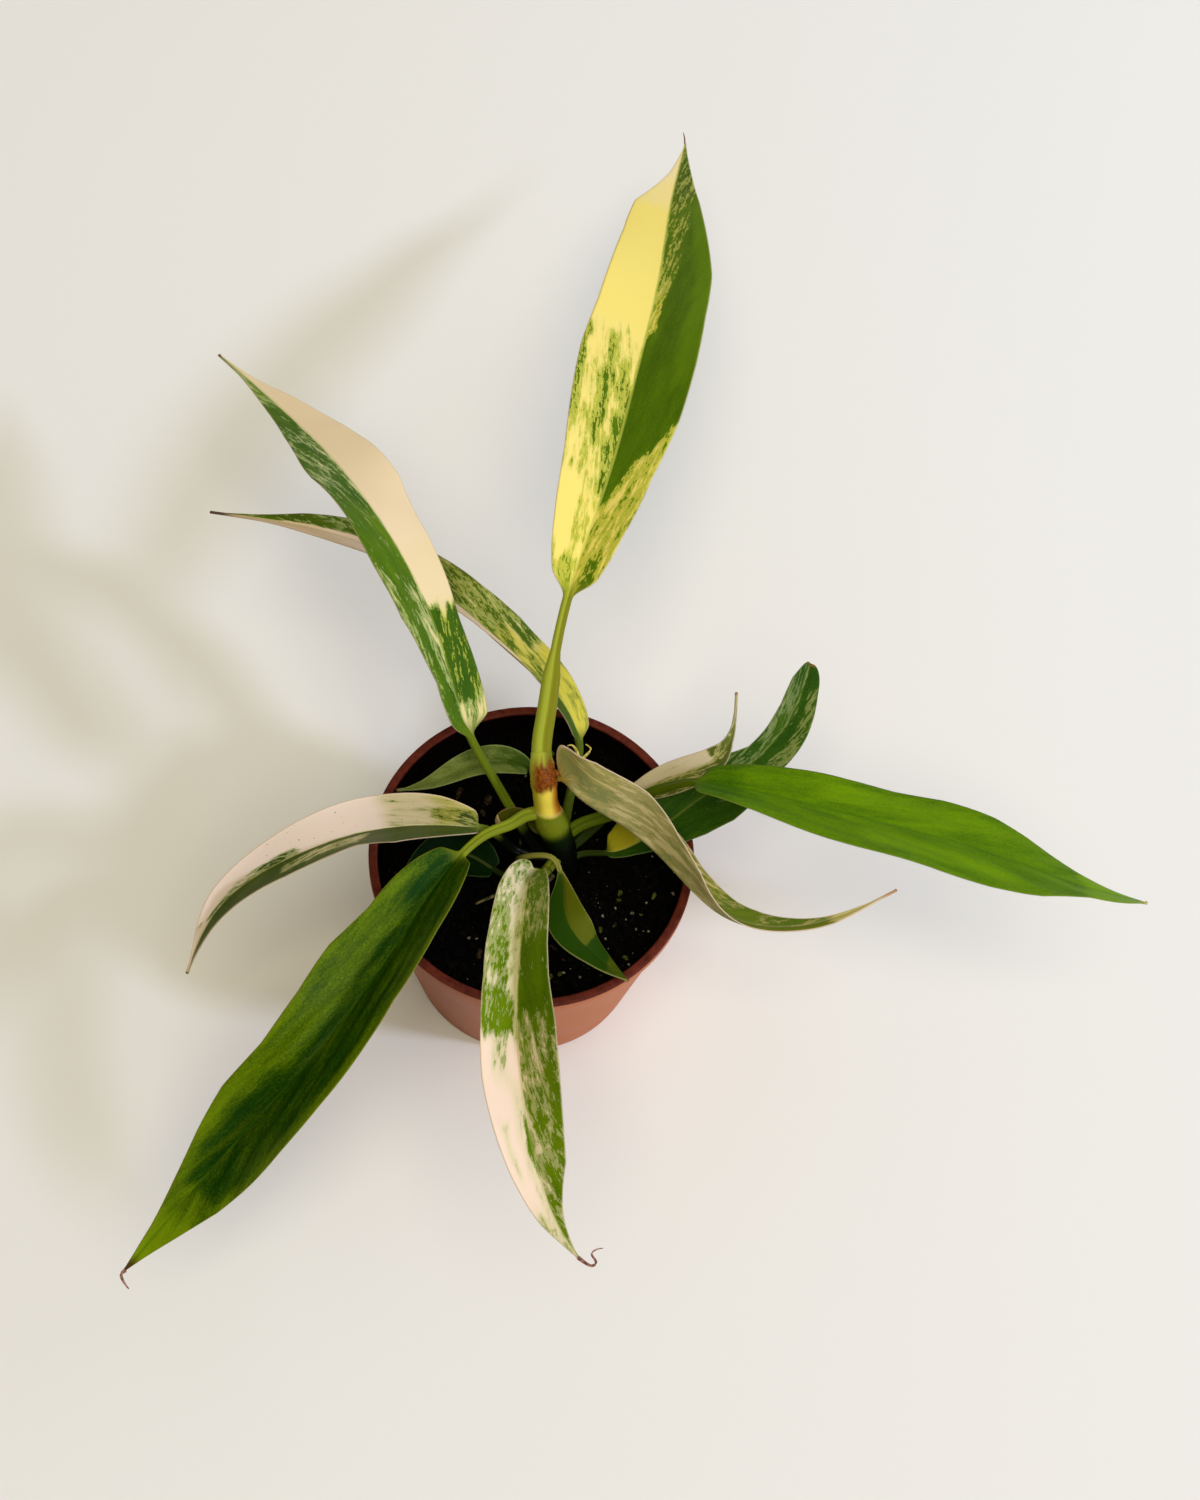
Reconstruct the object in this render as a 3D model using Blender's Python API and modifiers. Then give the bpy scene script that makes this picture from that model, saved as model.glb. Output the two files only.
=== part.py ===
"""A potted philodendron with narrow, partly cream leaves in a 12 cm plastic pot.

The origin is the middle of the pot's flat underside, +Z is up, and the tall
leaf at the back leans towards +Y. Lengths are millimetres until they reach a mesh.
"""
import math

import bmesh
import bpy
import numpy as np

MM = 0.001
GAP = 0.3

# Pot: a thin-walled plastic pot, cone-shaped, with a thickened lip and drain holes.
POT_HEIGHT = 95.0
POT_TOP_RADIUS = 60.0
POT_BASE_RADIUS = 45.0
WALL = 1.6
FLOOR = 2.4
LIP_WIDTH = 3.4
LIP_HEIGHT = 4.5
LIP_STEP = 0.8
LIP_ROUND = 0.9
TURN_STEPS = 64
DRAIN_HOLES = 6
DRAIN_RADIUS = 3.5
DRAIN_CIRCLE = 30.0

# Soil: a plug that fills the pot to 10 mm under the lip, a little higher round the stem.
SOIL_LEVEL = 84.0
SOIL_CROWN = 1.5
SOIL_RELIEF = 1.2
SOIL_RINGS = 9

# Stem: its centre line from inside the soil to the node that carries the tall leaf.
STEM = [(11.5, -1, 60), (11.5, -1, 74), (11.5, -0.5, 86), (9.5, 5, 96), (5.6, 9.2, 105), (2.8, 12.9, 114),
        (1.4, 17, 121.5), (0, 21.5, 125), (-0.9, 26, 127.2)]
STEM_RADIUS = [5.9, 5.9, 6.0, 5.8, 5.5, 4.4, 4.7, 4.1, 3.7]
STEM_HOLE = 6.6
ROOT = [(9, -4, 88), (2, -12, 88.5), (-8, -14.5, 88), (-18, -20, 87.5)]
ROOT_RADIUS = (1.3, 0.7)
SHOOT_HOLE = (-8.0, -2.5)
SHOOT_HOLE_RADIUS = 1.7

# Leaf blades and stalks.
BLADE_THICKNESS = 0.8
RIB_DEPTH = 1.3
ACROSS = (-1.0, -0.66, -0.33, 0.0, 0.33, 0.66, 1.0)
STALK_STATIONS = 9
STALK_START = 0.8
BASE_BLEND = 0.04
LAST_PLACE = 0.994
TIP_HALF_WIDTH = 0.5
ROUND_STALK = ((2.6, 2.2), (1.6, 1.5))
THIN_STALK = ((1.3, 1.3), (1.1, 1.1))

# One row a leaf. foot is the height and heading (degrees, 0 to the right, 90 to the back) where its stalk
# leaves the stem. stalk and blade are hand-chosen points along its midrib. roll turns the blade about the
# midrib, right side up, and fold lifts both halves: degrees, at even places from the blade's base to its tip.
# margins gives, at even places too, what share of its formula width the left and the right half reach.
# begin leaves out that share of the outline at the base, and lobe (mm) draws the base's edges back.
# stalk_size gives the stalk's half width and half depth at even places along it.
LEAVES = {
    "leaf_tall": dict(
        finish="cream_marbled_leaf", half_width=23.5, widest=0.42, taper=0.9, lobe=3, stations=30,
        stalk=[(-1, 26.9, 127.6), (-1, 38, 131.5), (-0.8, 56, 138)],
        blade=[(1, 79, 145), (9, 130, 141), (15, 190, 128), (19, 250, 108), (20, 310, 82), (23, 361, 60)],
        roll=(-5, -3, 2, 15), fold=(22, 20, 12),
        margins=((1.2, 1.08, 1.03, 1.06, 1.07, 1.0, 1.0, 1.02, 1.13, 0.47, 0.2),
                 (1.3, 0.97, 0.88, 0.98, 1.0, 1.0, 1.06, 1.0, 0.95, 0.8, 0.6)),
        stalk_size=((3.6, 3.2), (3.6, 3.1), (3.5, 2.9), (3.3, 2.5), (1.9, 1.8), (1.8, 1.7), (1.8, 1.7))),
    "leaf_upper_left": dict(
        finish="cream_marbled_leaf", half_width=16, widest=0.36, taper=0.75, begin=0.03, waves=(4, 1.0),
        foot=(89, 158), stalk=[(-5, 9, 97), (-11, 14.5, 104), (-18, 20, 115)],
        blade=[(-26.5, 28, 126), (-44, 62, 139), (-76, 110.5, 140), (-106, 150, 119), (-154, 202, 88)],
        roll=(-40, -38, -15, -35), fold=(8, 8, 12),
        margins=((0.8, 0.65, 1.26, 1.16, 1.1, 1.17, 0.97, 0.83, 0.65, 0.45, 0.3),
                 (1.2, 1.0, 0.88, 0.93, 1.08, 1.3, 1.25, 1.12, 0.85, 0.5, 0.3)),
        stalk_size=((2.0, 1.8), (1.6, 1.5))),
    "leaf_back_left": dict(
        finish="cream_marbled_leaf", half_width=12.5, widest=0.35, taper=0.9,
        foot=(93, 95), stalk=[(11, 22, 96), (12, 33, 98)],
        blade=[(12, 44, 100), (4, 56, 108), (-19, 75, 110), (-70, 110.5, 105), (-143, 125, 95)],
        roll=(-40, -36, -20, -15), fold=(20, 25, 22),
        margins=((1, 1, 0.5, 0.6, 0.7, 1, 1, 0.9, 0.75, 0.5, 0.3),
                 (1, 1, 1.15, 1.22, 1.02, 1, 1, 0.95, 0.85, 0.45, 0.2)),
        stalk_size=((2.0, 2.0), (1.6, 1.5))),
    "leaf_cream_left": dict(
        finish="cream_marbled_leaf", half_width=13.5, widest=0.28, taper=1.35,
        foot=(91, 200), stalk=[(-4, 0.5, 92), (-12, 1, 103)],
        blade=[(-19, -2, 116), (-45, -5, 117), (-78, -14.5, 108), (-109, -31, 86), (-123, -49, 52)],
        roll=(3, 4, 12, 20), fold=(55, 50, 45),
        margins=((1, 1.2, 1.4, 0.95, 1.0, 1.15, 1.15, 1.1, 1, 1, 1),
                 (1, 1.15, 1.12, 1.1, 1.05, 1.05, 1.08, 1.1, 1.1, 1, 1)),
        stalk_size=((2.0, 1.8), (1.6, 1.5))),
    "leaf_front_left": dict(
        finish="deep_green_leaf", half_width=20.5, widest=0.4, taper=1.0,
        foot=(110, 205), stalk=[(-8.5, 1, 116.5), (-16, -5, 119.5)],
        blade=[(-23, -13, 120), (-43, -57, 125), (-67.5, -101, 119), (-88.5, -124, 97), (-122, -166, 67)],
        roll=(-12, -12, 14, 42), fold=(40, 42, 22),
        margins=((1.6, 1.38, 1.2, 1.18, 1.1, 1.12, 1.1, 1.12, 1.15, 1.0, 0.8),
                 (1.2, 1.05, 0.95, 1.04, 0.94, 0.93, 1.05, 0.98, 0.87, 0.7, 0.8))),
    "leaf_front_marbled": dict(
        finish="cream_marbled_leaf", half_width=15, widest=0.46, taper=0.9,
        foot=(92, 260), stalk=[(5.5, -10.5, 102.5)],
        blade=[(3, -14, 111), (1, -36, 134), (5, -87, 140), (18.5, -133, 140), (25.5, -147, 140.5),
               (35, -159, 141)],
        roll=(8, -10, -4, 0), fold=(45, 42, 8),
        margins=((1, 1, 1, 1.03, 1.06, 1.24, 1.18, 1.12, 1.08, 0.6, 0.2),
                 (1.1, 1.1, 1.15, 1.02, 0.96, 1.03, 1.09, 1.07, 1.07, 1.0, 0.6)),
        stalk_size=((2.2, 2.0), (1.6, 1.5))),
    "leaf_front_small": dict(
        finish="fresh_green_leaf", half_width=8.5, widest=0.55, taper=0.9, waves=(2, 0.3), stations=16,
        stalk=[(*SHOOT_HOLE, 77), (-7.8, -2.4, 87), (-4.4, -3.6, 96.5), (3, -4.4, 104), (8.5, -6, 106)],
        blade=[(11, -9, 104), (16, -29, 107), (41, -46, 98)],
        roll=(-27, 0, 35, 55), fold=(10, 6, 4), stalk_size=((1.2, 1.2), (1.0, 1.0))),
    "leaf_right_twisted": dict(
        finish="pale_underside_leaf", half_width=13.5, widest=0.22, taper=1.5, begin=0.05, waves=(2, 0.3),
        lobe=18, stalk=[(6.4, 18.2, 123.2), (7, 18.1, 123.8)],
        blade=[(7.8, 17.9, 124.1), (14.6, 13.2, 124.5), (30.5, 6.8, 119.5), (50, -4, 112.5),
               (72.5, -18, 104), (100, -16.2, 97), (136, 6, 91)],
        roll=(80, 80, 55, 25, 18, 18), fold=(55, 55, 45, 25, 15, 15),
        margins=((0.55, 1.05, 1.05, 1.0, 0.8, 0.85, 0.85, 0.75, 0.55, 0.6, 0.6),
                 (0.55, 1.1, 1.15, 1.05, 1.15, 1.0, 0.6, 0.7, 1.0, 1.0, 0.8)),
        stalk_size=((1.2, 1.1), (1.3, 1.1))),
    "leaf_right_green": dict(
        finish="fresh_green_leaf", half_width=19.5, widest=0.5, taper=0.75, begin=0.04,
        foot=(98, 30), stalk=[(30, 17, 104), (39.5, 22, 112), (47, 22.5, 120)],
        blade=[(54.5, 21, 129), (80, 18, 134), (115, 15, 131), (162, 11, 124), (206, 7, 111), (229, 13, 92)],
        roll=(26, 24, 24, 45), fold=(10, 6, 8),
        margins=((1.1, 1.1, 0.98, 0.9, 0.88, 0.95, 0.9, 0.72, 0.5, 0.35, 0.3),
                 (1, 1.05, 1.03, 1, 1, 1, 1, 0.95, 0.57, 0.6, 0.5))),
    "leaf_right_folded": dict(
        finish="deep_green_leaf", half_width=11, widest=0.48, taper=0.5, waves=(3, 0.8), stations=20,
        foot=(90, 15), stalk=[],
        blade=[(26.4, 4.4, 93), (54.5, 24, 98.5), (87, 60, 102), (95, 88, 105)],
        roll=(10, -6, -26, -30), fold=(16, 30, 34),
        margins=((1.5, 1.6, 1.2, 1.1, 1.0, 0.9, 0.6, 0.75, 1.0, 1.5, 1.3),
                 (0.6, 0.7, 1.1, 1.4, 1.5, 1.3, 1.0, 1.0, 1.0, 1.05, 1.3)),
        stalk_size=THIN_STALK),
    "leaf_right_pale": dict(
        finish="pale_underside_leaf", half_width=6.5, widest=0.35, taper=1.6, begin=0.03, waves=(2, 0.3),
        stations=16, foot=(92, 50), stalk=[(24, 16.5, 97.5)],
        blade=[(33, 24, 102.3), (51, 31, 112.5), (65, 39, 121.5), (67, 61, 126)],
        roll=(-20, -20, -15, -10), fold=(20, 22, 22),
        margins=((1.2, 1, 1, 1, 1, 1, 1, 0.75, 0.5, 0.5, 0.5), (1, 1, 1, 1, 1, 1, 0.9, 0.4, 0.3, 0.4, 0.4)),
        stalk_size=((1.6, 1.3), (3.2, 1.2))),
    "leaf_low_arched": dict(
        finish="deep_green_leaf", half_width=6.3, widest=0.3, taper=1.4, waves=(2, 0.3), stations=16,
        foot=(101, 120), stalk=[(0, 26.5, 101)],
        blade=[(-5, 30, 102), (-25, 28, 105), (-41, 19, 102), (-53, 17.5, 96)],
        roll=(10, 8, 4, 3), fold=(28, 30, 30), stalk_size=THIN_STALK),
    "leaf_low_dark": dict(
        finish="deep_green_leaf", half_width=9.5, widest=0.43, taper=0.75, waves=(2, 0.3), stations=16,
        foot=(90, 240), stalk=[(-3, -9.5, 92)],
        blade=[(-13, -8, 93.5), (-25, -4, 95), (-36, -10, 97), (-45, -18, 98)],
        roll=(0, 10, 20, 25), fold=(12, 12, 10), stalk_size=THIN_STALK),
    "old_sheath": dict(
        finish="olive_sheath", half_width=5, widest=0.5, taper=0.4, waves=(1, 0.2), stations=12,
        foot=(101, 170), stalk=[],
        blade=[(-4, 10, 103.2), (-6.5, 8.8, 104), (-10, 6.8, 105.2), (-14, 4.2, 106.2)],
        roll=(0, 0), fold=(40, 35, 30), stalk_size=((1.6, 1.2), (1.4, 1.0))),
}

# Finishes: linear red, green and blue, and roughness.
FINISHES = {
    "terracotta_plastic": ((0.56, 0.25, 0.12), 0.45),
    "peat_soil": ((0.015, 0.012, 0.010), 0.95),
    "green_stem": ((0.25, 0.28, 0.04), 0.5),
    "deep_green_leaf": ((0.045, 0.14, 0.03), 0.4),
    "fresh_green_leaf": ((0.13, 0.30, 0.03), 0.4),
    "cream_marbled_leaf": ((0.50, 0.50, 0.24), 0.42),
    "pale_underside_leaf": ((0.40, 0.40, 0.25), 0.5),
    "olive_sheath": ((0.28, 0.24, 0.07), 0.55),
}


def clear_scene():
    for item in list(bpy.data.objects):
        bpy.data.objects.remove(item, do_unlink=True)


def make_collection(name):
    collection = bpy.data.collections.new(name)
    bpy.context.scene.collection.children.link(collection)
    return collection


def make_material(name):
    colour, roughness = FINISHES[name]
    new = bpy.data.materials.new(name)
    new.use_nodes = True
    shader = new.node_tree.nodes["Principled BSDF"]
    shader.inputs["Base Color"].default_value = (*colour, 1.0)
    shader.inputs["Roughness"].default_value = roughness
    shader.inputs["Metallic"].default_value = 0.0
    return new


def add_object(name, mesh, finish):
    new = bpy.data.objects.new(name, mesh)
    plant.objects.link(new)
    mesh.materials.clear()
    mesh.materials.append(materials[finish])
    return new


def add_tool(tool):
    """Keep an object that only cuts or joins out of the model."""
    for owner in list(tool.users_collection):
        owner.objects.unlink(tool)
    cutters.objects.link(tool)
    tool.hide_render = True
    tool.display_type = "WIRE"
    return tool


def evaluated_mesh(item):
    """The object's mesh with its modifiers applied, and a curve's caps welded on."""
    bpy.context.view_layer.update()
    mesh = bpy.data.meshes.new_from_object(item.evaluated_get(bpy.context.evaluated_depsgraph_get()))
    shape = bmesh.new()
    shape.from_mesh(mesh)
    bmesh.ops.remove_doubles(shape, verts=shape.verts, dist=0.02 * MM)
    shape.to_mesh(mesh)
    shape.free()
    return mesh


def turned(name, profile, finish):
    """A profile of (radius, height) points turned about Z, from the axis inside, over the top and down outside."""
    mesh = bpy.data.meshes.new(name)
    points = [(radius * MM, 0.0, height * MM) for radius, height in profile]
    mesh.from_pydata(points, [(i, i + 1) for i in range(len(points) - 1)], [])
    new = add_object(name, mesh, finish)
    screw = new.modifiers.new("Turn", "SCREW")
    screw.steps = TURN_STEPS
    screw.render_steps = TURN_STEPS
    screw.use_merge_vertices = True
    screw.merge_threshold = 0.0001
    screw.use_smooth_shade = True
    return new


def cutter(name, radius, centre, bottom, top, sides):
    """A plain upright cylinder that only cuts."""
    bpy.ops.mesh.primitive_cylinder_add(
        vertices=sides, radius=radius * MM, depth=(top - bottom) * MM,
        location=(centre[0] * MM, centre[1] * MM, (top + bottom) / 2 * MM))
    tool = bpy.context.object
    tool.name = name
    return add_tool(tool)


def boolean(item, other, operation):
    change = item.modifiers.new(other.name, "BOOLEAN")
    change.operation = operation
    change.object = other


def rod(name, points, radii, resolution):
    """A closed mesh round a path of points, with a round section of the given radii."""
    curve = bpy.data.curves.new(name, "CURVE")
    curve.dimensions = "3D"
    curve.bevel_depth = MM
    curve.bevel_resolution = resolution
    curve.use_fill_caps = True
    spline = curve.splines.new("POLY")
    spline.points.add(len(points) - 1)
    for point, place, radius in zip(spline.points, points, radii):
        point.co = (*(place * MM), 1.0)
        point.radius = radius
    holder = bpy.data.objects.new(name + "_curve", curve)
    plant.objects.link(holder)
    mesh = evaluated_mesh(holder)
    bpy.data.objects.remove(holder, do_unlink=True)
    return mesh


def smooth_path(points, count):
    """Even points on the natural cubic spline through the given ones, and where those lie as shares of its length."""
    points = np.array(points, float)
    knots = np.concatenate([[0.0], np.cumsum(np.linalg.norm(np.diff(points, axis=0), axis=1))])
    step = np.diff(knots)
    size = len(points)
    system = np.eye(size)
    bend = np.zeros((size, 3))
    for i in range(1, size - 1):
        system[i, i - 1:i + 2] = step[i - 1], 2 * (step[i - 1] + step[i]), step[i]
        bend[i] = 6 * ((points[i + 1] - points[i]) / step[i] - (points[i] - points[i - 1]) / step[i - 1])
    second = np.linalg.solve(system, bend)

    def at(place):
        i = np.clip(np.searchsorted(knots, place, side="right") - 1, 0, size - 2)
        h = step[i][:, None]
        a = (knots[i + 1] - place)[:, None] / h
        b = 1 - a
        straight = a * points[i] + b * points[i + 1]
        return straight + ((a ** 3 - a) * second[i] + (b ** 3 - b) * second[i + 1]) * h ** 2 / 6

    fine = np.linspace(0, knots[-1], 400)
    length = np.concatenate([[0.0], np.cumsum(np.linalg.norm(np.diff(at(fine), axis=0), axis=1))])
    shares = np.interp(knots, fine, length) / length[-1]
    return at(np.interp(np.linspace(0, length[-1], count), length, fine)), shares


def unit(vectors):
    return vectors / np.linalg.norm(vectors, axis=-1, keepdims=True)


def stalk_foot(height, heading):
    """Two points that start a stalk: square to the stem and just clear of its side, then a little further out."""
    count = 200
    line, shares = smooth_path(STEM, count)
    i = int(np.argmin(np.abs(line[:, 2] - height)))
    radius = np.interp(i / (count - 1), shares, STEM_RADIUS)
    ahead = unit(line[i + 1] - line[i - 1])
    out = np.array((math.cos(math.radians(heading)), math.sin(math.radians(heading)), 0.0))
    out = unit(out - ahead * (out @ ahead))
    start = line[i] + out * (radius + STALK_START)
    return [tuple(start), tuple(start + out * 2.5 + ahead * 0.7)]


def blade_width(place, widest, taper):
    """Share of the full half width: place^base times (1 - place)^taper, scaled to 1 at the widest place."""
    base = taper * widest / (1 - widest)
    peak = widest ** base * (1 - widest) ** taper
    return place ** base * (1 - place) ** taper / peak


def at_places(values, place):
    """Read values that stand at even places from 0 to 1."""
    return np.interp(place, np.linspace(0, 1, len(values)), values)


def make_leaf(name, finish, blade, half_width, stalk, foot=None, widest=0.42, taper=0.9, begin=0.0, lobe=2,
              roll=(0, 0), fold=(20, 20, 15), margins=((1,), (1,)), waves=(3, 0.8), stalk_size=ROUND_STALK,
              stations=26):
    """One leaf as a loft along its midrib, from a round stalk to a thin, folded blade with a rib underneath."""
    start = stalk_foot(*foot) if foot else []
    line, shares = smooth_path(start + stalk + blade, 400)
    base = shares[len(start) + len(stalk)]
    even = np.linspace(0, 1, stations)
    in_blade = 0.6 * even + 0.2 * (1 - np.cos(math.pi * even))
    in_blade[-1] = LAST_PLACE
    place = np.concatenate([np.linspace(0, base, STALK_STATIONS)[:-1], base + (1 - base) * in_blade])
    in_blade = np.concatenate([np.zeros(STALK_STATIONS - 1), in_blade])
    in_stalk = np.clip(place / base, 0, 1)

    spots = np.linspace(0, 1, len(line))
    centre = np.stack([np.interp(place, spots, line[:, axis]) for axis in range(3)], axis=1)
    ahead = unit(np.stack([np.interp(place, spots, np.gradient(line[:, axis])) for axis in range(3)], axis=1))
    level = unit(np.cross(ahead, (0.0, 0.0, 1.0)))
    upright = np.cross(level, ahead)
    turn = (np.radians(at_places(roll, in_blade)) * in_stalk)[:, None]
    side = level * np.cos(turn) + upright * np.sin(turn)
    up = upright * np.cos(turn) - level * np.sin(turn)

    across = np.array(ACROSS)
    outline = blade_width(begin + (1 - begin) * in_blade, widest, taper)
    left, right = [at_places(shares, in_blade)[:, None] for shares in margins]
    width = np.maximum(half_width * outline[:, None] * np.where(across < 0, left, right), TIP_HALF_WIDTH)
    lift = np.radians(at_places(fold, in_blade))[:, None]
    count, height = waves
    ripple = height * width / half_width * np.sin(2 * math.pi * count * in_blade)[:, None] * across * np.abs(across)
    back = lobe * across ** 2 * np.clip(1 - in_blade / 0.3, 0, 1)[:, None] ** 2
    reach = width * across * np.cos(lift)
    rise = width * np.abs(across) * np.sin(lift) + ripple
    surface = (centre[:, None] + reach[..., None] * side[:, None] + rise[..., None] * up[:, None]
               - back[..., None] * ahead[:, None])
    normal = unit(np.cross(np.gradient(surface, axis=1), np.gradient(surface, axis=0)))
    rib = RIB_DEPTH * (1 - 0.8 * in_blade)[:, None] * (1 - np.abs(across)) ** 3
    top = surface + normal * BLADE_THICKNESS / 2
    bottom = surface - normal * (BLADE_THICKNESS / 2 + rib)[..., None]
    blade_ring = np.concatenate([top, bottom[:, ::-1]], axis=1)

    angles = math.pi * (1 - (np.arange(len(across)) + 0.5) / len(across))
    angles = np.concatenate([angles, -angles[::-1]])
    half_wide, half_deep = [at_places(sizes, in_stalk)[:, None] for sizes in zip(*stalk_size)]
    stalk_ring = (centre[:, None] + (half_wide * np.cos(angles))[..., None] * side[:, None]
                  + (half_deep * np.sin(angles))[..., None] * up[:, None])

    share = np.clip(in_blade / BASE_BLEND, 0, 1)
    share = (share * share * (3 - 2 * share))[:, None, None]
    return add_object(name, loft(name, stalk_ring * (1 - share) + blade_ring * share), finish)


def loft(name, rings):
    """A closed mesh through rings. The first half of each is the upper face, and both faces are split alike."""
    count, size = rings.shape[:2]
    half = size // 2
    faces = []
    for i in range(count - 1):
        for k in range(size):
            a = i * size + k
            b = i * size + (k + 1) % size
            if k < half:
                faces += [(a, b, b + size), (a, b + size, a + size)]
            else:
                faces += [(a, b, a + size), (b, b + size, a + size)]
    last = (count - 1) * size
    for k in range(half - 1):
        faces += [(size - 1 - k, size - 2 - k, k + 1, k)]
        faces += [(last + k, last + k + 1, last + size - 2 - k, last + size - 1 - k)]
    mesh = bpy.data.meshes.new(name)
    mesh.from_pydata((rings.reshape(-1, 3) * MM).tolist(), [], faces)
    mesh.shade_smooth()
    mesh.set_sharp_from_angle(angle=math.radians(50))
    return mesh


def wall_slope():
    return (POT_TOP_RADIUS - POT_BASE_RADIUS - LIP_STEP) / POT_HEIGHT


def make_pot():
    """A cone-shaped cup: floor, wall, lip with rounded edges, and a ring of drain holes."""
    lip_bottom = POT_HEIGHT - LIP_HEIGHT
    lip_inside = POT_TOP_RADIUS - LIP_WIDTH

    def outside(height):
        return POT_BASE_RADIUS + wall_slope() * height

    profile = [(0, FLOOR), (outside(FLOOR) - WALL - 2, FLOOR), (outside(FLOOR + 2) - WALL, FLOOR + 2),
               (outside(lip_bottom - 3) - WALL, lip_bottom - 3), (lip_inside, lip_bottom),
               (lip_inside, POT_HEIGHT - LIP_ROUND), (lip_inside + LIP_ROUND, POT_HEIGHT),
               (POT_TOP_RADIUS - LIP_ROUND, POT_HEIGHT), (POT_TOP_RADIUS, POT_HEIGHT - LIP_ROUND),
               (POT_TOP_RADIUS, lip_bottom), (outside(lip_bottom - 0.6), lip_bottom - 0.6),
               (outside(1.2), 1.2), (POT_BASE_RADIUS - 1, 0), (0, 0)]
    pot = turned("pot", profile, "terracotta_plastic")
    for number in range(DRAIN_HOLES):
        angle = 2 * math.pi * number / DRAIN_HOLES
        centre = (DRAIN_CIRCLE * math.cos(angle), DRAIN_CIRCLE * math.sin(angle))
        boolean(pot, cutter(f"drain_{number + 1}", DRAIN_RADIUS, centre, -2, FLOOR + 2, 16), "DIFFERENCE")


def make_soil():
    """The packed soil: it fills the pot, has an uneven top, and plain holes for the stem and the small shoot."""
    side = POT_BASE_RADIUS - WALL - GAP
    bottom = FLOOR + GAP
    edge = side + wall_slope() * SOIL_LEVEL - GAP
    profile = [(edge * ring / SOIL_RINGS, SOIL_LEVEL) for ring in range(SOIL_RINGS + 1)]
    profile += [(side + wall_slope() * (bottom + 3), bottom + 3), (side - 2.5, bottom), (0, bottom)]
    blank = turned("soil_blank", profile, "peat_soil")
    mesh = evaluated_mesh(blank)
    bpy.data.objects.remove(blank, do_unlink=True)
    for point in mesh.vertices:
        x, y, z = point.co / MM
        if z > SOIL_LEVEL - 1:
            far = math.hypot(x, y) / edge
            lumps = math.sin(x / 5.1 + 1.3 * math.sin(y / 9.0)) * math.cos(y / 6.3 + 0.8)
            point.co.z += (SOIL_RELIEF * lumps * (1 - far ** 6) + SOIL_CROWN * (0.6 - far ** 2)) * MM
    soil = add_object("soil", mesh, "peat_soil")
    boolean(soil, cutter("stem_hole", STEM_HOLE, STEM[0][:2], STEM[0][2] - GAP, POT_HEIGHT, 32), "DIFFERENCE")
    boolean(soil, cutter("shoot_hole", SHOOT_HOLE_RADIUS, SHOOT_HOLE, 76, POT_HEIGHT, 12), "DIFFERENCE")


def make_stem():
    """The short stem, thicker at its nodes, with one old root that lies out over the soil."""
    count = 26
    line, shares = smooth_path(STEM, count)
    radii = np.interp(np.linspace(0, 1, count), shares, STEM_RADIUS)
    stem = add_object("stem", rod("stem", line, radii, 4), "green_stem")
    reach, _ = smooth_path(ROOT, 9)
    root = rod("root", reach, np.linspace(*ROOT_RADIUS, 9), 1)
    boolean(stem, add_tool(bpy.data.objects.new("root", root)), "UNION")


clear_scene()
plant = make_collection("potted_philodendron")
cutters = make_collection("cutters")
materials = {name: make_material(name) for name in FINISHES}
make_pot()
make_soil()
make_stem()
for leaf_name, shape in LEAVES.items():
    make_leaf(leaf_name, **shape)
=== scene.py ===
# %% [markdown]
# # A potted philodendron
# This notebook dresses a young variegated philodendron in a plastic grower pot. The plain solids of the pot,
# the soil, the stem and every leaf come in as a fixed frame at their real size. Each step then replaces one of
# them with a finer surface of the same form and gives it a finish worked out from what the real thing is.

# %% Load the fixed frame
import math

import bmesh
import bpy
import numpy as np
from mathutils import Matrix, Vector


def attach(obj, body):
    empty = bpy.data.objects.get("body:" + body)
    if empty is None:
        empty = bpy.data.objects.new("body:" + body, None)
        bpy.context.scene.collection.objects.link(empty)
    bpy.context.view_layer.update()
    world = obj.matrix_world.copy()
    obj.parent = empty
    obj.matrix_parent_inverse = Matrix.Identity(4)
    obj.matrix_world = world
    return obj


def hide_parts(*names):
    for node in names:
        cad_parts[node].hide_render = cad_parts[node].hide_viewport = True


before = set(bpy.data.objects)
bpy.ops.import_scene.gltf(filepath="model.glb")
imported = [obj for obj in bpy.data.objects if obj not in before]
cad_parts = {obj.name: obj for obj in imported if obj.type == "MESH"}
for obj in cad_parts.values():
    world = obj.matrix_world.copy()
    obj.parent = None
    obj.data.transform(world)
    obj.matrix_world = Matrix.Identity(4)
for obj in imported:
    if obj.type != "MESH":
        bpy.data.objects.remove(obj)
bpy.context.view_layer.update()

# %% [markdown]
# ## Helpers
# Sizes are written in millimetres and turned to metres when they reach a mesh. Colours are written as the sRGB
# hex values that a colour picker shows, and one function turns them to the linear light that shaders use.

# %% Units and colours
MM = 0.001


def hex_colour(text):
    """An sRGB hex value as linear red, green, blue and alpha."""
    parts = [int(text[i:i + 2], 16) / 255 for i in (0, 2, 4)]
    linear = [part / 12.92 if part <= 0.04045 else ((part + 0.055) / 1.055) ** 2.4 for part in parts]
    return (*linear, 1.0)


print("leaf green in linear light:", [round(part, 3) for part in hex_colour("4F6E19")])

# %% [markdown]
# A shader is a tree of nodes. One small function adds a node, sets its properties and fills its sockets, either
# with a value or with a link from another node's output, so a tree reads from top to bottom like a recipe.


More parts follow.
